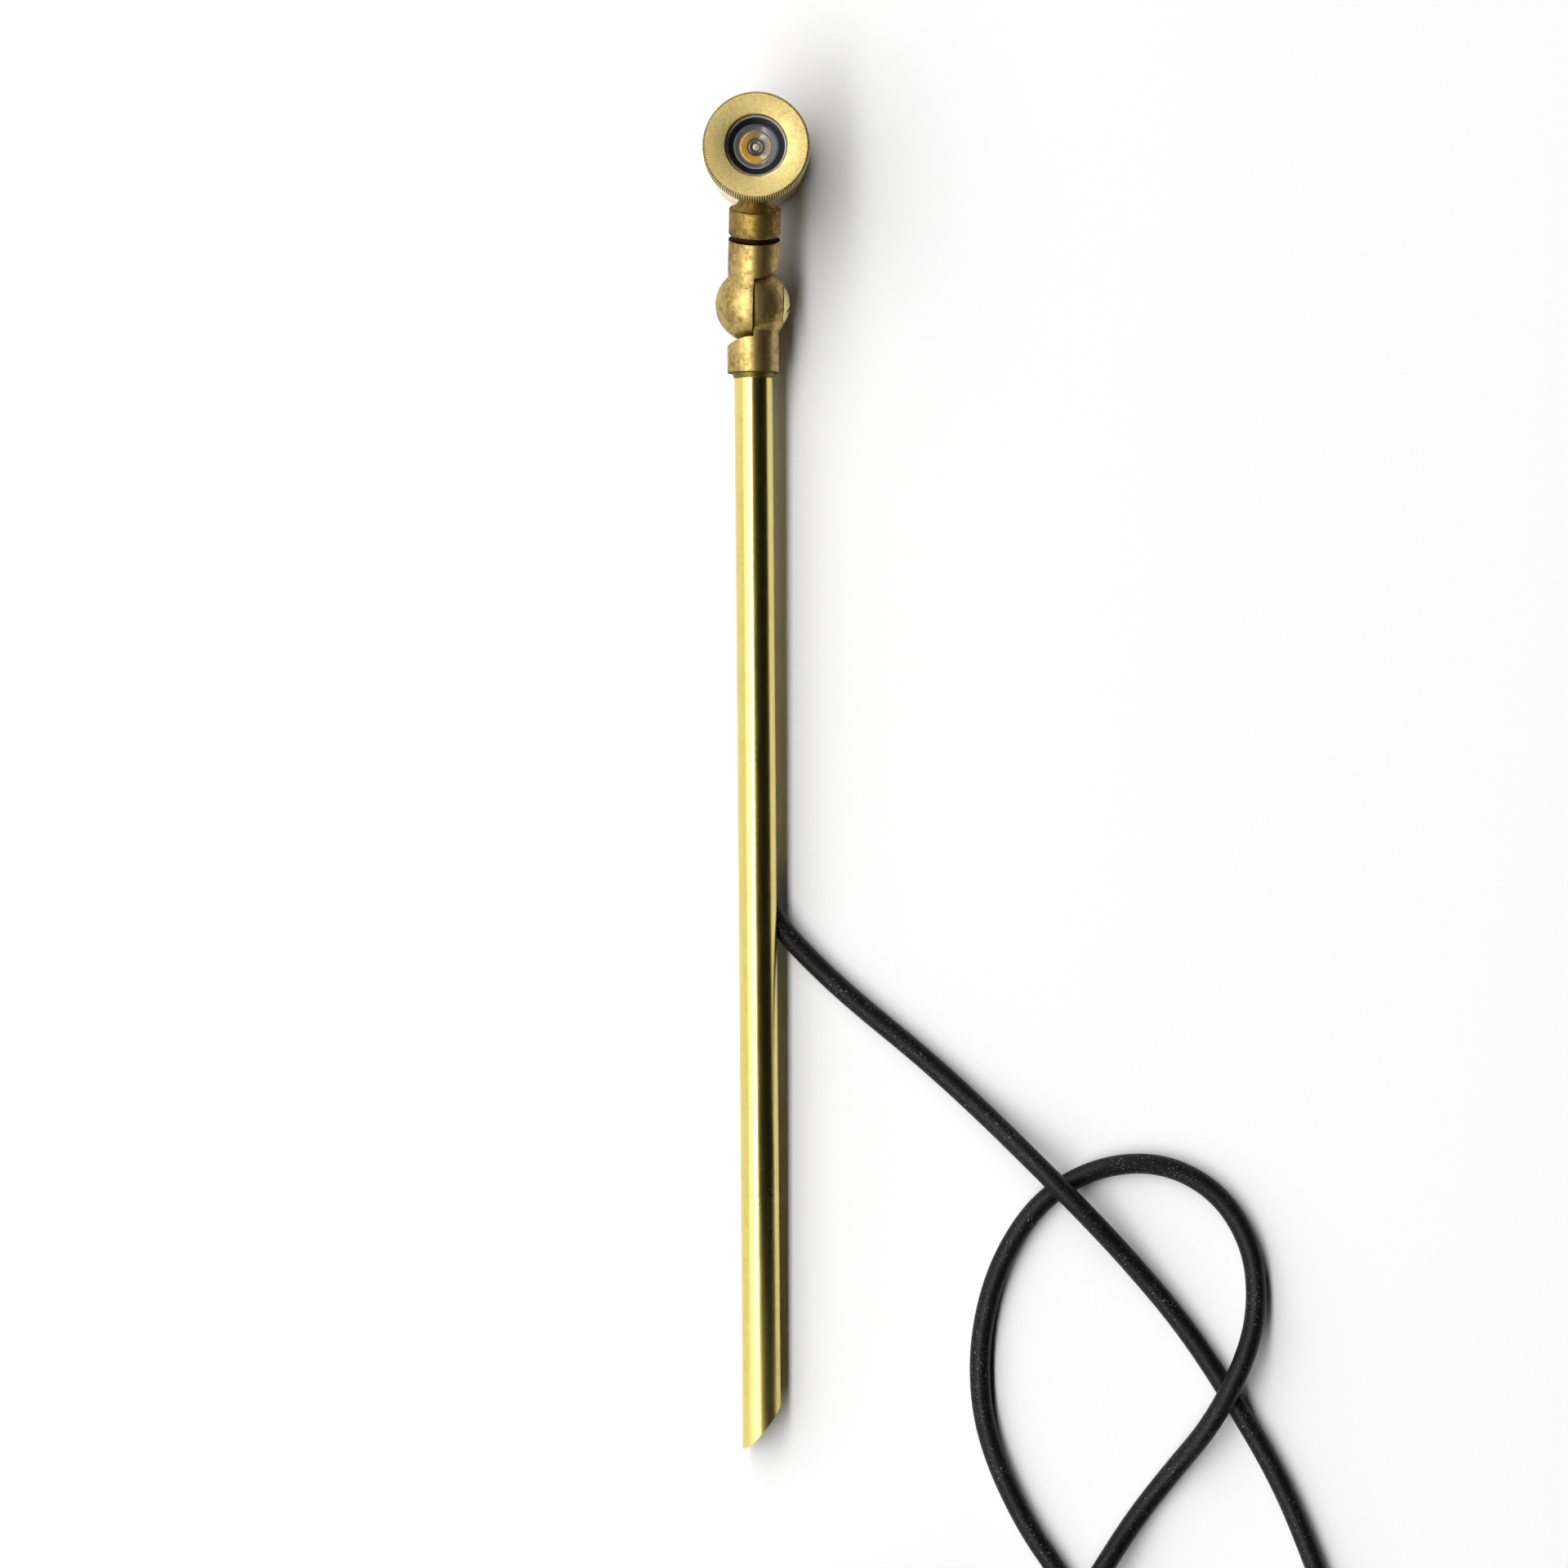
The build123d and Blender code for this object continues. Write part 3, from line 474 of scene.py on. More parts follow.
# Glass: clear, with a mirror over it that grows towards grazing view, and a little dust.
def glassFinish():
    finish = Finish("frontGlass")
    look = glassLook
    edge = finish.node("ShaderNodeFresnel", None, {"IOR": look["index"]})
    clear = finish.node("ShaderNodeBsdfTransparent", None, {"Color": look["tint"]})
    gloss = finish.node("ShaderNodeBsdfGlossy", None, {"Color": look["mirror"], "Roughness": look["rough"]})
    specks = finish.noise(finish.coordinates(), look["dustScale"], 2.0)
    dust = finish.between(specks, look["dustFrom"], look["dustTo"]) * look["dust"]
    factor = edge * look["mirrorShare"] + dust
    shader = finish.node("ShaderNodeMixShader", None, {0: factor, 1: clear, 2: gloss})
    finish.node("ShaderNodeOutputMaterial", None, {"Surface": shader})
    return finish.material


# The moulded lens, with the light and shade seen in the optic painted into its colour. Its rings are (share of
# the reach, colour) from the middle to the edge, once for the lit side, at the lower left, painted brighter and
# warmer with a pale painted highlight crescent near the edge, and once for the shaded side opposite.
lensLook = {
    "litRings": [
        (0.0, (0.66, 0.52, 0.34)), (0.13, (0.70, 0.56, 0.38)), (0.155, (0.16, 0.12, 0.09)),
        (0.19, (0.05, 0.045, 0.04)), (0.24, (0.12, 0.10, 0.08)), (0.29, (0.04, 0.035, 0.03)),
        (0.36, (0.04, 0.03, 0.02)), (0.39, (0.60, 0.32, 0.06)), (0.52, (0.86, 0.43, 0.05)),
        (0.70, (0.66, 0.36, 0.08)), (0.76, (0.16, 0.14, 0.10)), (0.83, (0.09, 0.09, 0.08)),
        (0.90, (0.30, 0.31, 0.31)), (0.945, (0.80, 0.82, 0.83)), (0.975, (0.30, 0.32, 0.33)),
        (1.0, (0.02, 0.02, 0.02)),
    ],
    "shadedRings": [
        (0.0, (0.62, 0.50, 0.33)), (0.13, (0.64, 0.52, 0.35)), (0.155, (0.16, 0.13, 0.10)),
        (0.19, (0.06, 0.06, 0.05)), (0.24, (0.20, 0.18, 0.15)), (0.29, (0.09, 0.09, 0.08)),
        (0.36, (0.13, 0.12, 0.11)), (0.39, (0.30, 0.22, 0.13)), (0.52, (0.36, 0.25, 0.13)),
        (0.68, (0.26, 0.20, 0.14)), (0.74, (0.10, 0.11, 0.12)), (0.82, (0.13, 0.15, 0.18)),
        (0.90, (0.08, 0.09, 0.12)), (0.945, (0.05, 0.055, 0.07)), (0.975, (0.03, 0.03, 0.04)),
        (1.0, (0.02, 0.02, 0.02)),
    ],
    "reach": 0.0091, "litSide": (-0.85, -0.5), "litFrom": -0.45, "litTo": 0.55,
    "rippleScale": 500.0, "ripple": 0.02, "rippleLit": 6,
    "streakScale": 1100.0, "streakFrom": 0.5, "streakTo": 0.75, "streakInside": 0.66, "streakOutside": 0.8,
    "streakShare": 0.35, "streakColour": (0.35, 0.40, 0.46), "streakRough": 0.2,
    "rough": 0.28, "coat": 0.6, "coatRough": 0.08,
}


def lensFinish():
    finish = Finish("mouldedLens")
    look = lensLook
    source = finish.coordinates(tuple(headPlace[0]))
    x, y = [finish.node("ShaderNodeSeparateXYZ", None, {"Vector": source}, name) for name in "XY"]
    distance = (x * x + y * y) ** 0.5
    share = distance / look["reach"]
    ripple = look["ripple"] * (finish.noise(source, look["rippleScale"], 2.0) - 0.5)
    # Which side of the middle a point lies on: the lit side is painted brighter, the shaded side darker.
    side = (x * look["litSide"][0] + y * look["litSide"][1]) / (distance + 1e-5)
    litShare = finish.between(side + look["rippleLit"] * ripple, look["litFrom"], look["litTo"])
    litRings = finish.ramp(share + ripple, look["litRings"])
    shadedRings = finish.ramp(share + ripple, look["shadedRings"])
    specks = finish.noise(source, look["streakScale"], 3.0, 0.7)
    streaks = finish.between(specks, look["streakFrom"], look["streakTo"])
    streaks = streaks * finish.between(share, look["streakInside"], look["streakOutside"])
    colour = finish.blend(litShare, shadedRings, litRings)
    colour = finish.blend(streaks * look["streakShare"], colour, look["streakColour"])
    rough = look["rough"] + look["streakRough"] * streaks
    inputs = {
        "Base Color": colour,
        "Roughness": rough,
        "Coat Weight": look["coat"],
        "Coat Roughness": look["coatRough"],
    }
    return finish.dress(inputs)


tipWear = {"from": 330.0, "to": 440.0, "rough": 0.16}
# The bezel knurl's grooves are painted darker, as shade.
knurlGrooveShade = {"grooves": 135.0, "inside": 19.45, "crest": 19.75, "dark": 0.97}
finishes = {
    "tubeBrass": brassFinish(
        "tubeBrass", tubeBrassLook, tubePlace, speckDark=0.06, grain=1e-6, wave=3e-5, dirtAndShade=tubeDirtAndShade,
        worn=tipWear,
    ),
    "lowerSatin": brassFinish(
        "lowerSatinBrass", satinBrassLook, tubePlace, drawn=9.0, grain=6e-6, dirtAndShade=lowerDirtAndShade,
    ),
    "upperSatin": brassFinish(
        "upperSatinBrass", satinBrassLook, armPlace, drawn=9.0, grain=6e-6, dirtAndShade=upperDirtAndShade,
    ),
    "neckShadedSatin": brassFinish("neckShadedBrass", neckShadedBrassLook, armPlace, drawn=9.0, grain=6e-6, dirtAndShade=upperDirtAndShade),
    "headSatin": brassFinish(
        "headBodyBrass", bodyBrassLook, headPlace, drawn=0.1, speckDark=0.15, grain=4e-6,
    ),
    "bezelBrass": brassFinish(
        "bezelBrass", bezelBrassLook, headPlace, drawn=1.0, speckScale=2600.0, speckDark=0.9, grain=5e-5,
        knurl=knurlGrooveShade,
    ),
    "boltBrass": brassFinish("boltBrass", boltBrassLook, hingePlace, drawn=1.0),
    "rubber": rubberFinish(),
    "glass": glassFinish(),
    "lens": lensFinish(),
    "baffle": plasticFinish("baffleBlack", (0.005, 0.004, 0.007), (0.010, 0.008, 0.013), 0.42),
    "trim": plasticFinish("trimSilver", (0.72, 0.60, 0.48), (0.80, 0.70, 0.60), 0.42, 900.0),
    "steel": plasticFinish("springSteel", (0.55, 0.55, 0.55), (0.42, 0.42, 0.42), 0.3, 700.0, 1.0),
    "fibre": plasticFinish("fibreWasher", (0.28, 0.15, 0.09), (0.20, 0.10, 0.06), 0.7, 900.0),
    "holder": plasticFinish("holderWhite", (0.80, 0.80, 0.78), (0.72, 0.72, 0.70), 0.45),
    "board": plasticFinish("boardWhite", (0.82, 0.82, 0.80), (0.74, 0.75, 0.74), 0.4, 300.0),
    "phosphor": plasticFinish("phosphorYellow", (0.90, 0.62, 0.08), (0.85, 0.50, 0.06), 0.3, 900.0),
    "sink": plasticFinish("turnedAluminium", (0.70, 0.70, 0.71), (0.60, 0.60, 0.62), 0.33, 500.0, 1.0),
    "driver": plasticFinish("pottedDriver", (0.05, 0.05, 0.055), (0.09, 0.09, 0.095), 0.5, 250.0),
    "brownWire": plasticFinish("brownSheath", (0.17, 0.07, 0.03), (0.13, 0.05, 0.02), 0.35, 500.0),
    "blueWire": plasticFinish("blueSheath", (0.02, 0.08, 0.33), (0.015, 0.06, 0.26), 0.35, 500.0),
    "tie": plasticFinish("tieBlack", (0.02, 0.02, 0.02), (0.035, 0.035, 0.035), 0.5),
    "ferrule": plasticFinish("tinnedFerrule", (0.66, 0.66, 0.67), (0.55, 0.55, 0.56), 0.22, 900.0, 1.0),
}
print("finishes made:", len(finishes))


def dress(piece, body, node, finish):
    piece.data.materials.clear()
    piece.data.materials.append(finishes[finish])
    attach(piece, body)
    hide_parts(node)


# The lead: control points of one smooth curve, out of the slot, over itself and into its coil.
lead = {
    "diameter": 8.0,
    "route": [
        (-2.0, -18.0, 11.26), (-2.0, -37.0, 10.95), (4.0, -55.0, 6.6), (16.5, -69.5, 4.0),
        (34.0, -86.3, 4.0), (63.5, -110.7, 4.0), (88.0, -133.7, 6.0), (107.0, -152.6, 12.6),
        (123.5, -169.4, 12.6), (142.0, -189.5, 6.0), (163.0, -214.8, 4.0), (181.0, -242.5, 4.0),
        (199.5, -274.5, 4.0), (212.0, -305.0, 4.0), (223.0, -338.0, 4.0), (218.7, -363.1, 4.0),
        (202.8, -381.3, 4.0), (179.9, -389.4, 4.0), (156.1, -385.2, 4.0), (137.4, -369.8, 4.0),
        (127.5, -341.0, 4.0), (115.5, -314.0, 4.0), (99.8, -291.4, 4.0), (85.4, -258.5, 4.0),
        (82.3, -229.0, 4.0), (87.0, -201.0, 4.0), (97.7, -178.0, 4.0), (112.5, -161.5, 4.0),
        (134.0, -151.8, 4.0), (157.0, -151.8, 4.0), (177.5, -163.5, 4.0), (190.0, -184.5, 4.0),
        (191.7, -208.0, 6.0), (186.0, -228.0, 12.6), (173.0, -252.5, 12.6), (158.0, -271.8, 4.0),
        (143.0, -290.5, 4.0), (128.0, -311.5, 12.6), (112.2, -335.8, 12.6), (93.9, -366.8, 4.7),
        (81.7, -389.8, 4.7),
    ],
    "leadIn": 9.0,  # straight before the coil and after it
    "coilRadius": 51.5,
    "pitch": 8.6,
    "layer": 8.6,
    "turnsIn": 1.75,
    "turns": 3.25,
    "pointsPerTurn": 12,
    "roundSteps": 6,
    "lengthSteps": 10,
}


# The coil's middle line: the radius shrinks by the pitch for each turn to turnsIn and grows again after
# it, while the height climbs one layer by the smooth step 3c^2 - 2c^3 over half a turn. Control points
# stand outside by 1/cos(half step).
def coilPoints():
    last, before = np.array(lead["route"][-1]), np.array(lead["route"][-2])
    heading = (last - before) / np.linalg.norm(last - before)
    start = last + heading * lead["leadIn"]
    step = 1.0 / lead["pointsPerTurn"]
    turns = np.arange(step / 2, lead["turns"], step)
    lean = math.atan(lead["pitch"] / (2 * math.pi * lead["coilRadius"]))
    first = math.atan2(heading[1], heading[0]) + math.pi / 2 + lean
    centre = start[:2] - lead["coilRadius"] * np.array([math.cos(first), math.sin(first)])

    def spiral(turn, scale):
        inner = lead["coilRadius"] - lead["pitch"] * lead["turnsIn"]
        radius = scale * (inner + lead["pitch"] * np.abs(turn - lead["turnsIn"]))
        climb = np.clip((turn - lead["turnsIn"]) * 2 + 0.5, 0, 1)
        height = start[2] + lead["layer"] * climb * climb * (3 - 2 * climb)
        angle = first - 2 * math.pi * turn
        east, north = centre[0] + radius * np.cos(angle), centre[1] + radius * np.sin(angle)
        return np.stack([east, north, height], axis=-1)

    controls = spiral(turns, 1 / math.cos(math.pi * step))
    end, nearEnd = spiral(np.array([lead["turns"], lead["turns"] - 0.001]), 1.0)
    finalHeading = (end - nearEnd) / np.linalg.norm(end - nearEnd)
    return np.concatenate([controls, (end + finalHeading * lead["leadIn"])[None]])


def addLead():
    points = np.concatenate([np.array(lead["route"]), coilPoints()]) * millimetre
    data = bpy.data.curves.new("lead", "CURVE")
    data.dimensions = "3D"
    data.bevel_depth = lead["diameter"] / 2 * millimetre
    data.bevel_resolution = lead["roundSteps"]
    data.resolution_u = lead["lengthSteps"]
    data.use_fill_caps = True
    spline = data.splines.new("NURBS")
    spline.points.add(len(points) - 1)
    spline.points.foreach_set("co", np.concatenate([points, np.ones((len(points), 1))], axis=1).ravel())
    spline.order_u = 3
    spline.use_endpoint_u = True
    item = bpy.data.objects.new("lead", data)
    bpy.context.collection.objects.link(item)
    data.materials.append(finishes["rubber"])
    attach(item, "spike")
    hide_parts("cable_free", "cable_coil")


addLead()
print("lead laid")


# Tube spike.
spike = {
    "radius": 7.5, "wall": 1.0, "start": 18.0, "tipMiddle": 435.7, "cutAngle": 40.5, "cutTurn": 17.0,
    "slotPlace": 233.6, "slotLength": 33.0, "slotWidth": 10.0, "slotAzimuth": -33.0,
    "slotReach": (0.5, 12.0), "edge": 0.12,
    "collar": [(7.45, 26.5), (8.1, 26.5, 0.1), (8.05, 26.9, 0.3), (7.62, 28.2, 0.15), (7.45, 28.2)],
}


# A tube whose far end is the plane z = m - s (x cos t - y sin t): rows run out along the outside and back
# inside.
def tubeGrid(around=144, rows=110):
    angle = np.linspace(0, 2 * np.pi, around, endpoint=False)
    turn = math.radians(spike["cutTurn"])
    slope = 1 / math.tan(math.radians(spike["cutAngle"]))

    def tip(radius):
        return spike["tipMiddle"] - slope * radius * np.cos(angle + turn)

    outer, inner = spike["radius"], spike["radius"] - spike["wall"]
    share = np.linspace(0, 1, rows)[:, None]
    start = spike["start"]
    outside = (outer, start + (tip(outer) - spike["edge"] - start) * share)
    rim = (outer - spike["edge"], tip(outer - spike["edge"])[None])
    mouth = (inner + spike["edge"], tip(inner + spike["edge"])[None])
    inside = (inner, start + (tip(inner) - spike["edge"] - start) * share[::-1])
    stack = []
    for radius, height in (outside, rim, mouth, inside):
        wide = np.ones_like(height) * radius
        stack.append(np.stack([wide * np.cos(angle), wide * np.sin(angle), height], axis=-1))
    return np.concatenate(stack)


# A bar with half-round ends: points of a circle, moved apart by the straight length.
def roundEnded(length, width, count=48):
    angle = np.linspace(0, 2 * np.pi, count, endpoint=False)
    shift = (length - width) / 2 * np.sign(np.cos(angle))
    return np.stack([shift + width / 2 * np.cos(angle), width / 2 * np.sin(angle)], axis=-1)


def addSpike():
    piece = addPiece("spikeTube", tubeGrid(), tubePlace)
    azimuth = math.radians(spike["slotAzimuth"])
    origin, axes = tubePlace
    outward = axes[0] * math.cos(azimuth) + axes[1] * math.sin(azimuth)
    slotPlace = placeAt(origin + axes[2] * spike["slotPlace"] * millimetre, axes[2], outward)
    outline = roundEnded(spike["slotLength"], spike["slotWidth"])
    slotBar = barGrid(outline, *spike["slotReach"])
    join(piece, addPiece("tool", slotBar, slotPlace, loop=False))
    dress(piece, "spike", "spike_tube", "tubeBrass")
    collar = turnedPiece("tubeCollar", spike["collar"], tubePlace)
    dress(collar, "spike", "tube_collar", "tubeBrass")


addSpike()
print("spike made")


# Knuckle: two half balls with their stems, and the bolt. A bare number in a tool's call is an end outside
# the piece, where any length will do.
knuckle = {
    "ball": 14.5, "stem": 10.0, "lowerReach": 26.6, "upperReach": 26.1, "lowerFace": 0.65, "upperFace": 0.35,
    "relief": 16.3, "flat": 11.7, "bore": 3.05, "tapped": 3.0, "boss": 4.8, "chamber": 10.4,
    "chamberDepth": 4.2, "seat": 5.5, "seatDepth": 1.0, "edge": 0.25, "stemEdge": 0.4, "wireBore": 2.2,
    "wireShift": 4.4, "wireShiftUpper": -3.4, "wireReach": (6.0, 18.5), "wireReachUpper": (6.0, 20.0),
    "tappedDepth": 10.0, "thread": 6.0, "threadStart": 19.7, "socket": 18.0, "socketGap": 0.01,
    "lap": 0.02,  # how far a stem is let into its half ball
}


def hollowTool(inner, outer, start, end, place):
    return turnedPiece("tool", [(inner, start), (outer, start), (outer, end), (inner, end)], place)


def addLowerKnuckle():
    ball, face, flat = knuckle["ball"], knuckle["lowerFace"], knuckle["flat"]
    piece = rodTool(knuckle["stem"], 0.0, knuckle["lowerReach"], tubePlace, rounding=knuckle["stemEdge"])
    piece.name = "lowerKnuckle"
    join(piece, rodTool(knuckle["relief"], -30.0, face + knuckle["lap"], hingePlace))
    faceRadius = math.sqrt(ball**2 - (face + knuckle["edge"]) ** 2)
    lowest = math.degrees(math.asin((face + knuckle["edge"]) / ball))
    arc = arcPoints(0.0, ball, lowest, math.degrees(math.asin(flat / ball)))
    corners = [(0, face), (faceRadius - knuckle["edge"], face)] + arc + [(0, flat)]
    half = addPiece("tool", turnedGrid(roundedOutline(corners, False, 2), 200), hingePlace, False)
    join(piece, half, "UNION")
    join(piece, rodTool(knuckle["bore"], -1.0, 20.0, hingePlace, around=64))
    join(piece, rodTool(knuckle["seat"], flat - knuckle["seatDepth"], 20.0, hingePlace, around=96))
    wireChamber = hollowTool(
        knuckle["boss"], knuckle["chamber"], -1.0, face + knuckle["chamberDepth"], hingePlace,
    )
    join(piece, wireChamber)
    start, end = knuckle["wireReach"]
    shift = (knuckle["wireShift"], 0.0)
    join(piece, rodTool(knuckle["wireBore"], start, end, tubePlace, shift, around=48))
    socketRadius = spike["radius"] + knuckle["socketGap"]
    join(piece, rodTool(socketRadius, knuckle["socket"], 40.0, tubePlace, around=144))
    dress(piece, "spike", "lower_knuckle", "lowerSatin")


def addUpperKnuckle():
    ball, face = knuckle["ball"], knuckle["upperFace"]
    piece = rodTool(knuckle["stem"], 0.0, knuckle["upperReach"], armPlace, rounding=knuckle["stemEdge"])
    piece.name = "upperKnuckle"
    join(piece, rodTool(knuckle["relief"], face - knuckle["lap"], 30.0, hingePlace))
    arc = arcPoints(0.0, ball, -90.0, math.degrees(math.asin((face - knuckle["edge"]) / ball)), 72)
    faceRadius = math.sqrt(ball**2 - (face - knuckle["edge"]) ** 2)
    corners = arc + [(faceRadius - knuckle["edge"], face), (0, face)]
    half = addPiece("tool", turnedGrid(roundedOutline(corners, False, 2), 200), hingePlace, False)
    join(piece, half, "UNION")
    join(piece, rodTool(knuckle["tapped"], -knuckle["tappedDepth"], 5.0, hingePlace, around=64))
    wireChamber = hollowTool(
        knuckle["boss"], knuckle["chamber"], face - knuckle["chamberDepth"], 2.0, hingePlace,
    )
    join(piece, wireChamber)
    start, end = knuckle["wireReachUpper"]
    shift = (knuckle["wireShiftUpper"], 0.0)
    join(piece, rodTool(knuckle["wireBore"], start, end, armPlace, shift, around=48))
    join(piece, rodTool(knuckle["thread"], knuckle["threadStart"], 40.0, armPlace, around=96))
    dress(piece, "arm", "upper_knuckle", "upperSatin")


bolt = {
    "seat": 11.75, "radius": 7.4, "rim": 12.1, "top": 14.4, "shank": 2.98, "depth": 9.9,
    "slot": (17.0, 1.3), "slotDepth": 1.0, "slotTurn": 35.0,
}


def addBolt():
    sag = bolt["top"] - bolt["rim"]
    sphere = (bolt["radius"] ** 2 + sag**2) / (2 * sag)
    lowest = math.degrees(math.acos(bolt["radius"] / sphere))
    crown = arcPoints(bolt["top"] - sphere, sphere, lowest, 90.0, 16)
    corners = [(0, -bolt["depth"]), (bolt["shank"], -bolt["depth"], 0.3), (bolt["shank"], bolt["seat"])]
    corners += [(bolt["radius"], bolt["seat"], 0.1), (bolt["radius"], bolt["rim"] - 0.05, 0.1)] + crown[1:]
    piece = addPiece("hingeBolt", turnedGrid(roundedOutline(corners, False), 128), hingePlace, False)
    origin, axes = hingePlace
    turn = math.radians(bolt["slotTurn"])
    along = axes[0] * math.cos(turn) + axes[1] * math.sin(turn)
    length, width = bolt["slot"]
    outline = np.array([(-1, -1), (1, -1), (1, 1), (-1, 1)]) * np.array([length, width]) / 2
    bar = barGrid(outline, bolt["top"] - bolt["slotDepth"], 18.0)
    join(piece, addPiece("tool", bar, placeAt(origin, along, axes[2]), loop=False))
    dress(piece, "arm", "hinge_bolt", "boltBrass")


addLowerKnuckle()
addUpperKnuckle()
addBolt()
print("knuckle made")


# Swivel and neck.
swivel = {
    "stem": [
        (4.9, 20.1), (6, 20.1, 0.2), (6, 26.1), (8.25, 26.1, 0.1), (8.25, 27.6, 0.15), (3.5, 27.6),
        (3.5, 49.2, 0.2), (2, 49.2), (2, 26.6), (4.9, 26.6),
    ],
    "neck": [
        (3.55, 27.8), (10, 27.8, 1.0), (10, 38.1, 0.35), (8.6, 38.1, 0.2), (5.3, 42.26, 0.2), (5.3, 46.2),
        (3.55, 46.2),
    ],
}


def addNeck():
    stem = turnedPiece("swivelStem", swivel["stem"], armPlace)
    dress(stem, "arm", "swivel_stem", "upperSatin")
    neck = turnedPiece("headNeck", swivel["neck"], armPlace, around=200)
    dress(neck, "head", "head_neck", "neckShadedSatin")


addNeck()
print("neck made")


# Lamp head.
bezel = {
    "crest": 20.5, "grooves": 135, "depth": 0.35, "land": 0.35, "knurlFrom": 40.7,
    "phase": (0.0, 0.175, 0.34, 0.5, 0.66, 0.825),  # the corners of one groove, in shares of its width
    "profile": [
        (18.8, 39.5), (20.5, 39.5, 0.12), (20.5, 40.7), (20.5, 51.0), (20.3, 51.2), (20.1, 51.4),
        (19.9, 51.6), (19.7, 51.8), (19.5, 52.0), (19.3, 51.99), (12.15, 51.86, 0.15), (11.8, 51.55, 0.1),
        (11.8, 50.6), (15.5, 50.6), (15.5, 46.7), (17.6, 46.7), (17.6, 40.7), (18.8, 40.7),
    ],
}


# The bezel: its profile turned round, with every radius above the plain rim held to the knurl's outline,
# which drops from the crest in a V between two lands.
def bezelGrid():
    profile = roundedOutline(bezel["profile"], True, 3)
    phase = np.array(bezel["phase"])
    angle = 2 * np.pi * (np.arange(bezel["grooves"])[:, None] + phase[None]).ravel() / bezel["grooves"]
    fromMiddle = np.abs(np.tile(phase, bezel["grooves"]) - 0.5) * 2
    groove = np.clip(1 - fromMiddle / (1 - bezel["land"]), 0, 1)
    outline = bezel["crest"] - bezel["depth"] * groove
    radius = np.repeat(profile[:, :1], len(angle), axis=1)
    height = np.repeat(profile[:, 1:2], len(angle), axis=1)
    knurled = height > bezel["knurlFrom"] + 0.001
    radius = np.where(knurled, np.minimum(radius, outline[None]), radius)
    return np.stack([radius * np.cos(angle), radius * np.sin(angle), height], axis=-1)


headProfiles = {
    "body": [
        (0, 0), (19, 0, 1.0), (19, 39.5, 0.15), (17.5, 39.5), (17.5, 46.5), (16.5, 46.5), (16.5, 36.8),
        (16, 36.8), (16, 2.5), (0, 2.5),
    ],
    "glass": [(0, 49.0), (15.4, 49.0, 0.1), (15.4, 50.3, 0.1), (0, 50.3)],
    "gasket": [(11.55, 50.3), (15.4, 50.3), (15.4, 50.6), (11.55, 50.6)],
    "trim": [(10.9, 48.2), (15.4, 48.2), (15.4, 49.0), (11.3, 49.0, 0.15), (10.9, 48.6, 0.1)],
    "baffle": [
        (8.6, 47.4), (15.4, 47.4), (15.4, 48.2), (10.85, 48.2), (10.85, 48.9, 0.1), (10.55, 48.9, 0.2),
        (8.6, 47.6, 0.15),
    ],
    "lens": [
        (0, 44.2), (2.7, 44.2), (2.7, 41.6), (3.6, 41.6), (8.65, 46.3), (9.3, 46.3), (9.3, 47.4),
        (8.5, 47.4, 0.1), (8.1, 46.9, 0.3), (6.2, 46.1, 0.5), (5.7, 46.3, 0.2), (3.4, 45.5, 0.2),
        (3.2, 45.1, 0.2), (2.3, 45.3, 0.3), (1.5, 44.9, 0.2), (1.35, 45.3, 0.1), (0, 45.6, 0.4),
    ],
}


def addHead():
    body = turnedPiece("headBody", headProfiles["body"], headPlace, loop=False, around=256)
    dress(body, "head", "head_body", "headSatin")
    ring = addPiece("bezelRing", bezelGrid(), headPlace)
    dress(ring, "head", "bezel_ring", "bezelBrass")
    glass = turnedPiece("frontGlass", headProfiles["glass"], headPlace, loop=False)
    dress(glass, "head", "front_glass", "glass")
    gasket = turnedPiece("glassGasket", headProfiles["gasket"], headPlace)
    dress(gasket, "head", "glass_gasket", "rubber")
    trim = turnedPiece("trimRing", headProfiles["trim"], headPlace)
    dress(trim, "head", "trim_ring", "trim")
    baffle = turnedPiece("lensBaffle", headProfiles["baffle"], headPlace)
    dress(baffle, "head", "lens_baffle", "baffle")
    lens = turnedPiece("opticLens", headProfiles["lens"], headPlace, loop=False)
    dress(lens, "head", "optic_lens", "lens")


addHead()
print("head made")


# The solids that stay as they are.
keptNodes = {
    "slot_grommet": "rubber", "spring_washer": "steel", "hinge_oring": "rubber", "friction_washer": "fibre",
    "swivel_nut": "steel", "swivel_oring": "rubber", "bezel_oring": "rubber", "lens_holder": "holder",
    "led_board": "board", "led_emitter": "phosphor", "led_screws": "steel", "heat_sink": "sink",
    "driver_module": "driver", "tube_wires": "brownWire", "stem_wires": "brownWire",
    "head_wires": "brownWire", "led_wires": "brownWire", "cable_inner": "rubber",
    "sheath_sleeve": "rubber", "coil_tie": "tie", "core_brown": "brownWire", "core_blue": "blueWire",
    "core_ferrules": "ferrule",
}
for nodeName, finishName in keptNodes.items():
    for materialSlot in nodes[nodeName].material_slots:
        materialSlot.material = finishes[finishName]
print("kept solids dressed:", len(keptNodes))


# Floor and light.
floorLook = {"size": 40.0, "height": -0.00015, "colour": 0.93, "nearby": 0.6, "faded": 1.7}
softboxes = {
    "strip": {"angle": 22.0, "distance": 4.5, "along": 2.2, "size": (0.72, 13.0), "radiance": 9.6},
    "broad": {"angle": 43.0, "distance": 4.2, "along": 0.0, "size": (2.6, 6.6), "radiance": 1.4},
}
room = {"left": 0.95, "right": 0.015, "from": -0.15, "to": -0.6}
flag = {"radius": 5.5, "length": 22.0, "from": -10.0, "to": 89.0, "steps": 40, "colour": 0.012}


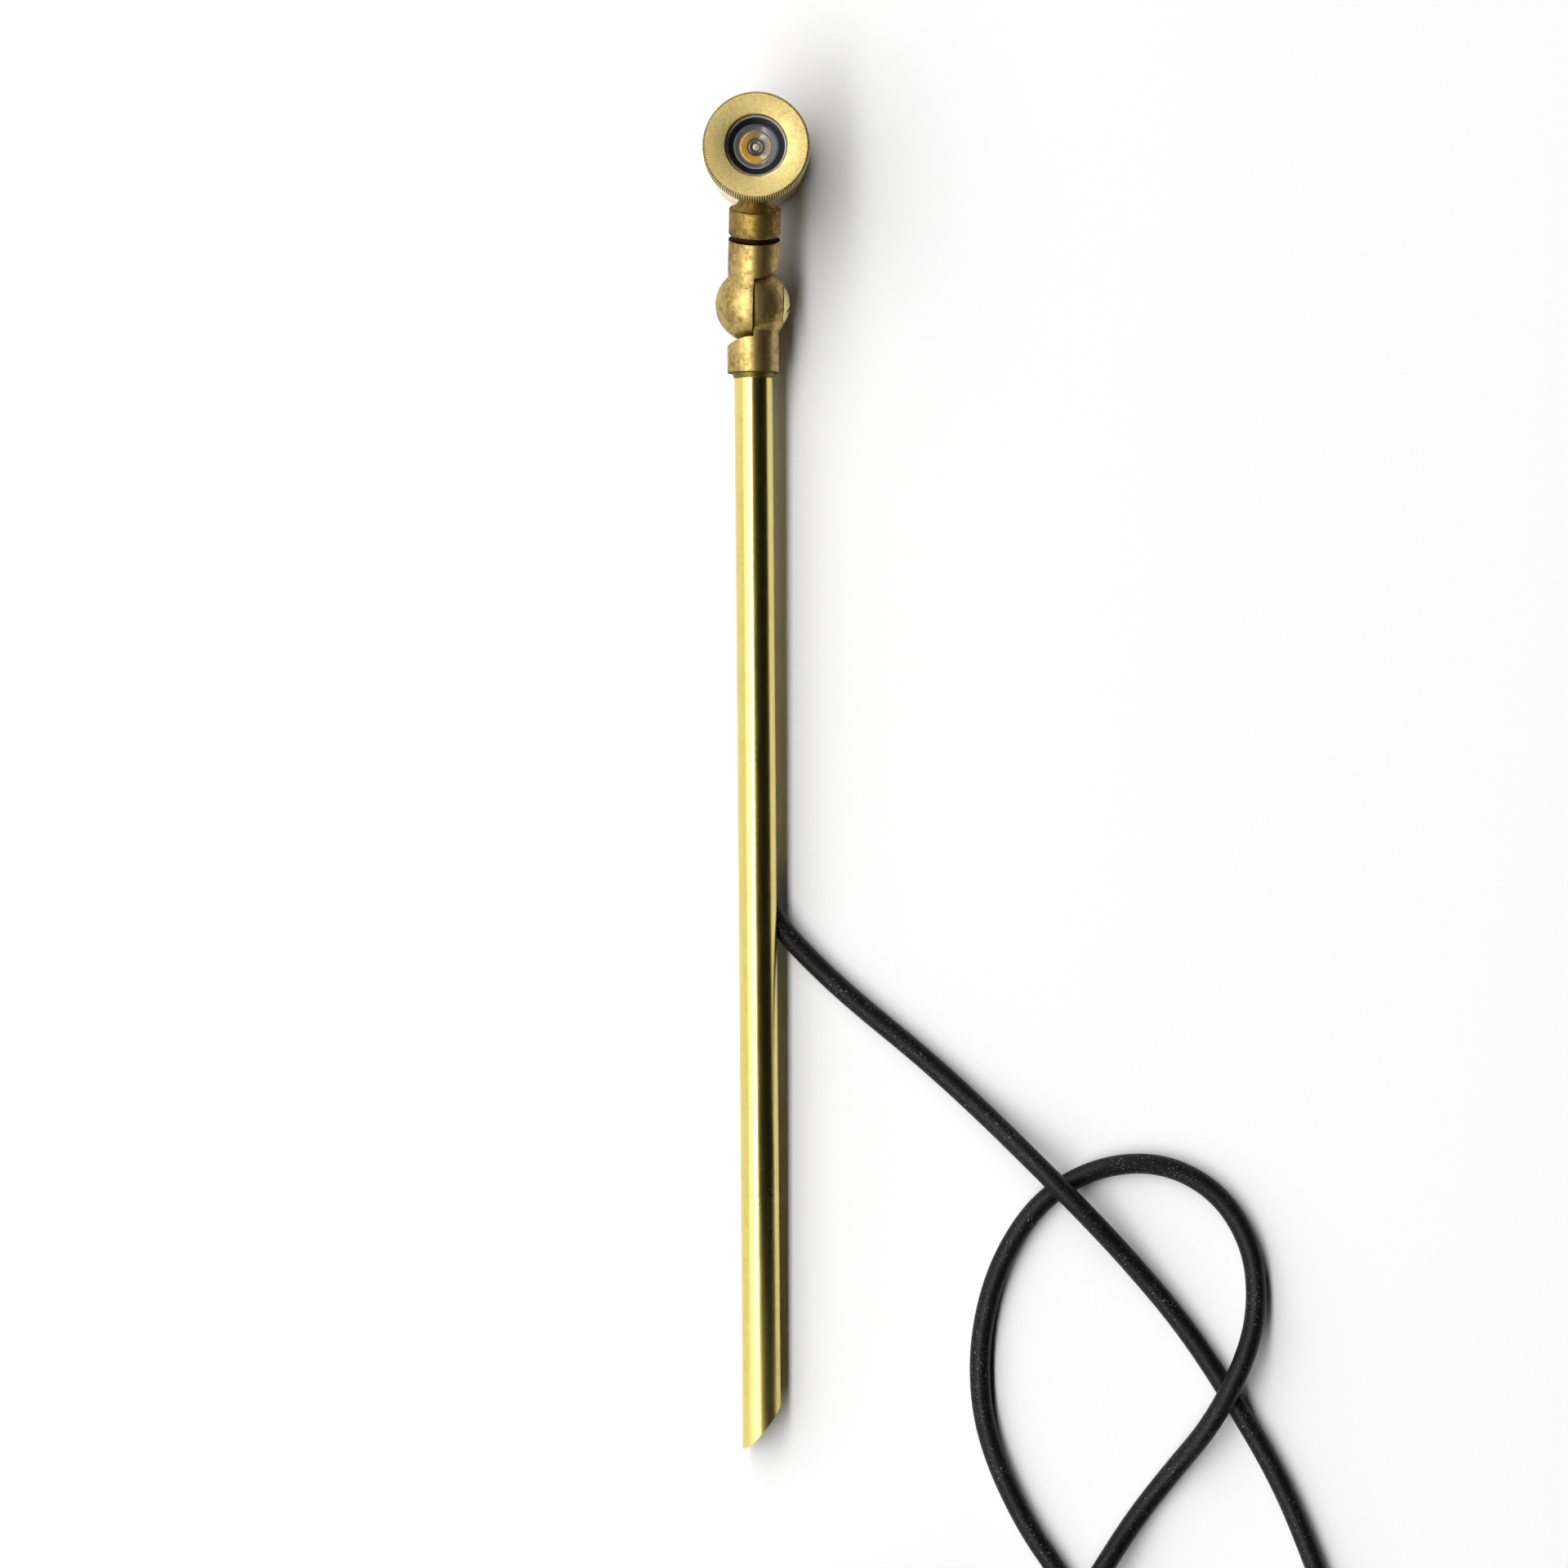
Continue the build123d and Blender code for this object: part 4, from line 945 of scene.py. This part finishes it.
# 1 where the background is seen: directly, mirrored in metal, or through glass.
def backgroundSeen(finish):
    rays = ("Is Camera Ray", "Is Glossy Ray", "Is Transmission Ray")
    seen = [finish.node("ShaderNodeLightPath", None, None, ray) for ray in rays]
    return finish.math("ADD", seen[0] + seen[1], seen[2], clamp=True)


# The floor fades into a plain white background away from the object.
def addFloor():
    half = floorLook["size"] / 2
    corners = np.array([(-half, -half), (half, -half), (half, half), (-half, half)])
    points = np.concatenate([corners, np.full((4, 1), floorLook["height"])], axis=1)
    mesh = bpy.data.meshes.new("floor")
    mesh.from_pydata(points, [], [(0, 1, 2, 3)])
    item = bpy.data.objects.new("floor", mesh)
    bpy.context.collection.objects.link(item)
    finish = Finish("paleFloor")
    reach = finish.node("ShaderNodeVectorMath", {"operation": "LENGTH"}, {0: finish.coordinates()}, "Value")
    far = finish.between(reach, floorLook["nearby"], floorLook["faded"])
    glow = far * backgroundSeen(finish)
    white = (floorLook["colour"],) * 3
    inputs = {
        "Base Color": finish.blend(far, white, (0.0, 0.0, 0.0)),
        "Roughness": 0.9,
        "Specular IOR Level": 0.0,
        "Emission Color": finish.blend(glow, (0.0, 0.0, 0.0), (1.0, 1.0, 1.0)),
        "Emission Strength": 1.0,
    }
    mesh.materials.append(finish.dress(inputs))


# Soft lights on the left, each aimed at the object from its angle off the vertical. A light's radiance is
# its power over pi times its area.
def addLights():
    for name, box in softboxes.items():
        data = bpy.data.lights.new(name, "AREA")
        data.shape = "RECTANGLE"
        data.size, data.size_y = box["size"]
        data.energy = box["radiance"] * math.pi * data.size * data.size_y
        item = bpy.data.objects.new(name, data)
        angle = math.radians(box["angle"])
        item.location = (-box["distance"] * math.sin(angle), box["along"], box["distance"] * math.cos(angle))
        item.rotation_euler = (0.0, -angle, 0.0)
        item.visible_camera = False
        bpy.context.collection.objects.link(item)


# A dark half cylinder over the right-hand side, x = r sin a and z = r cos a, which the metal mirrors as
# its dark side.
def addFlag():
    turn = np.radians(np.linspace(flag["from"], flag["to"], flag["steps"]))
    angle, along = np.meshgrid(turn, np.array([-0.5, 0.5]) * flag["length"], indexing="ij")
    points = np.stack([flag["radius"] * np.sin(angle), along, flag["radius"] * np.cos(angle)], axis=-1)
    mesh = bpy.data.meshes.new("darkFlag")
    row = np.arange(flag["steps"] - 1)[:, None] * 2
    mesh.from_pydata(points.reshape(-1, 3), [], (row + np.array([0, 1, 3, 2])).tolist())
    item = bpy.data.objects.new("darkFlag", mesh)
    item.visible_camera = False
    bpy.context.collection.objects.link(item)
    finish = Finish("darkCloth")
    inputs = {"Base Color": (flag["colour"],) * 3, "Roughness": 1.0, "Specular IOR Level": 0.0}
    mesh.materials.append(finish.dress(inputs))


# The room: a white background where it is seen, and light that comes from the left.
def addRoom():
    world = bpy.data.worlds.new("room")
    bpy.context.scene.world = world
    world.use_nodes = True
    finish = Finish("room", world.node_tree)
    direction = finish.node("ShaderNodeTexCoord", None, None, "Generated")
    x = finish.node("ShaderNodeSeparateXYZ", None, {"Vector": direction}, "X")
    level = finish.between(x, room["from"], room["to"], room["right"], room["left"])
    seen = backgroundSeen(finish)
    strength = level * (1 - seen) + seen
    shader = finish.node("ShaderNodeBackground", None, {"Color": (1.0, 1.0, 1.0), "Strength": strength})
    finish.node("ShaderNodeOutputWorld", None, {"Surface": shader})


addFloor()
addLights()
addFlag()
addRoom()
bpy.context.scene.view_settings.view_transform = "Standard"
print("stage set")
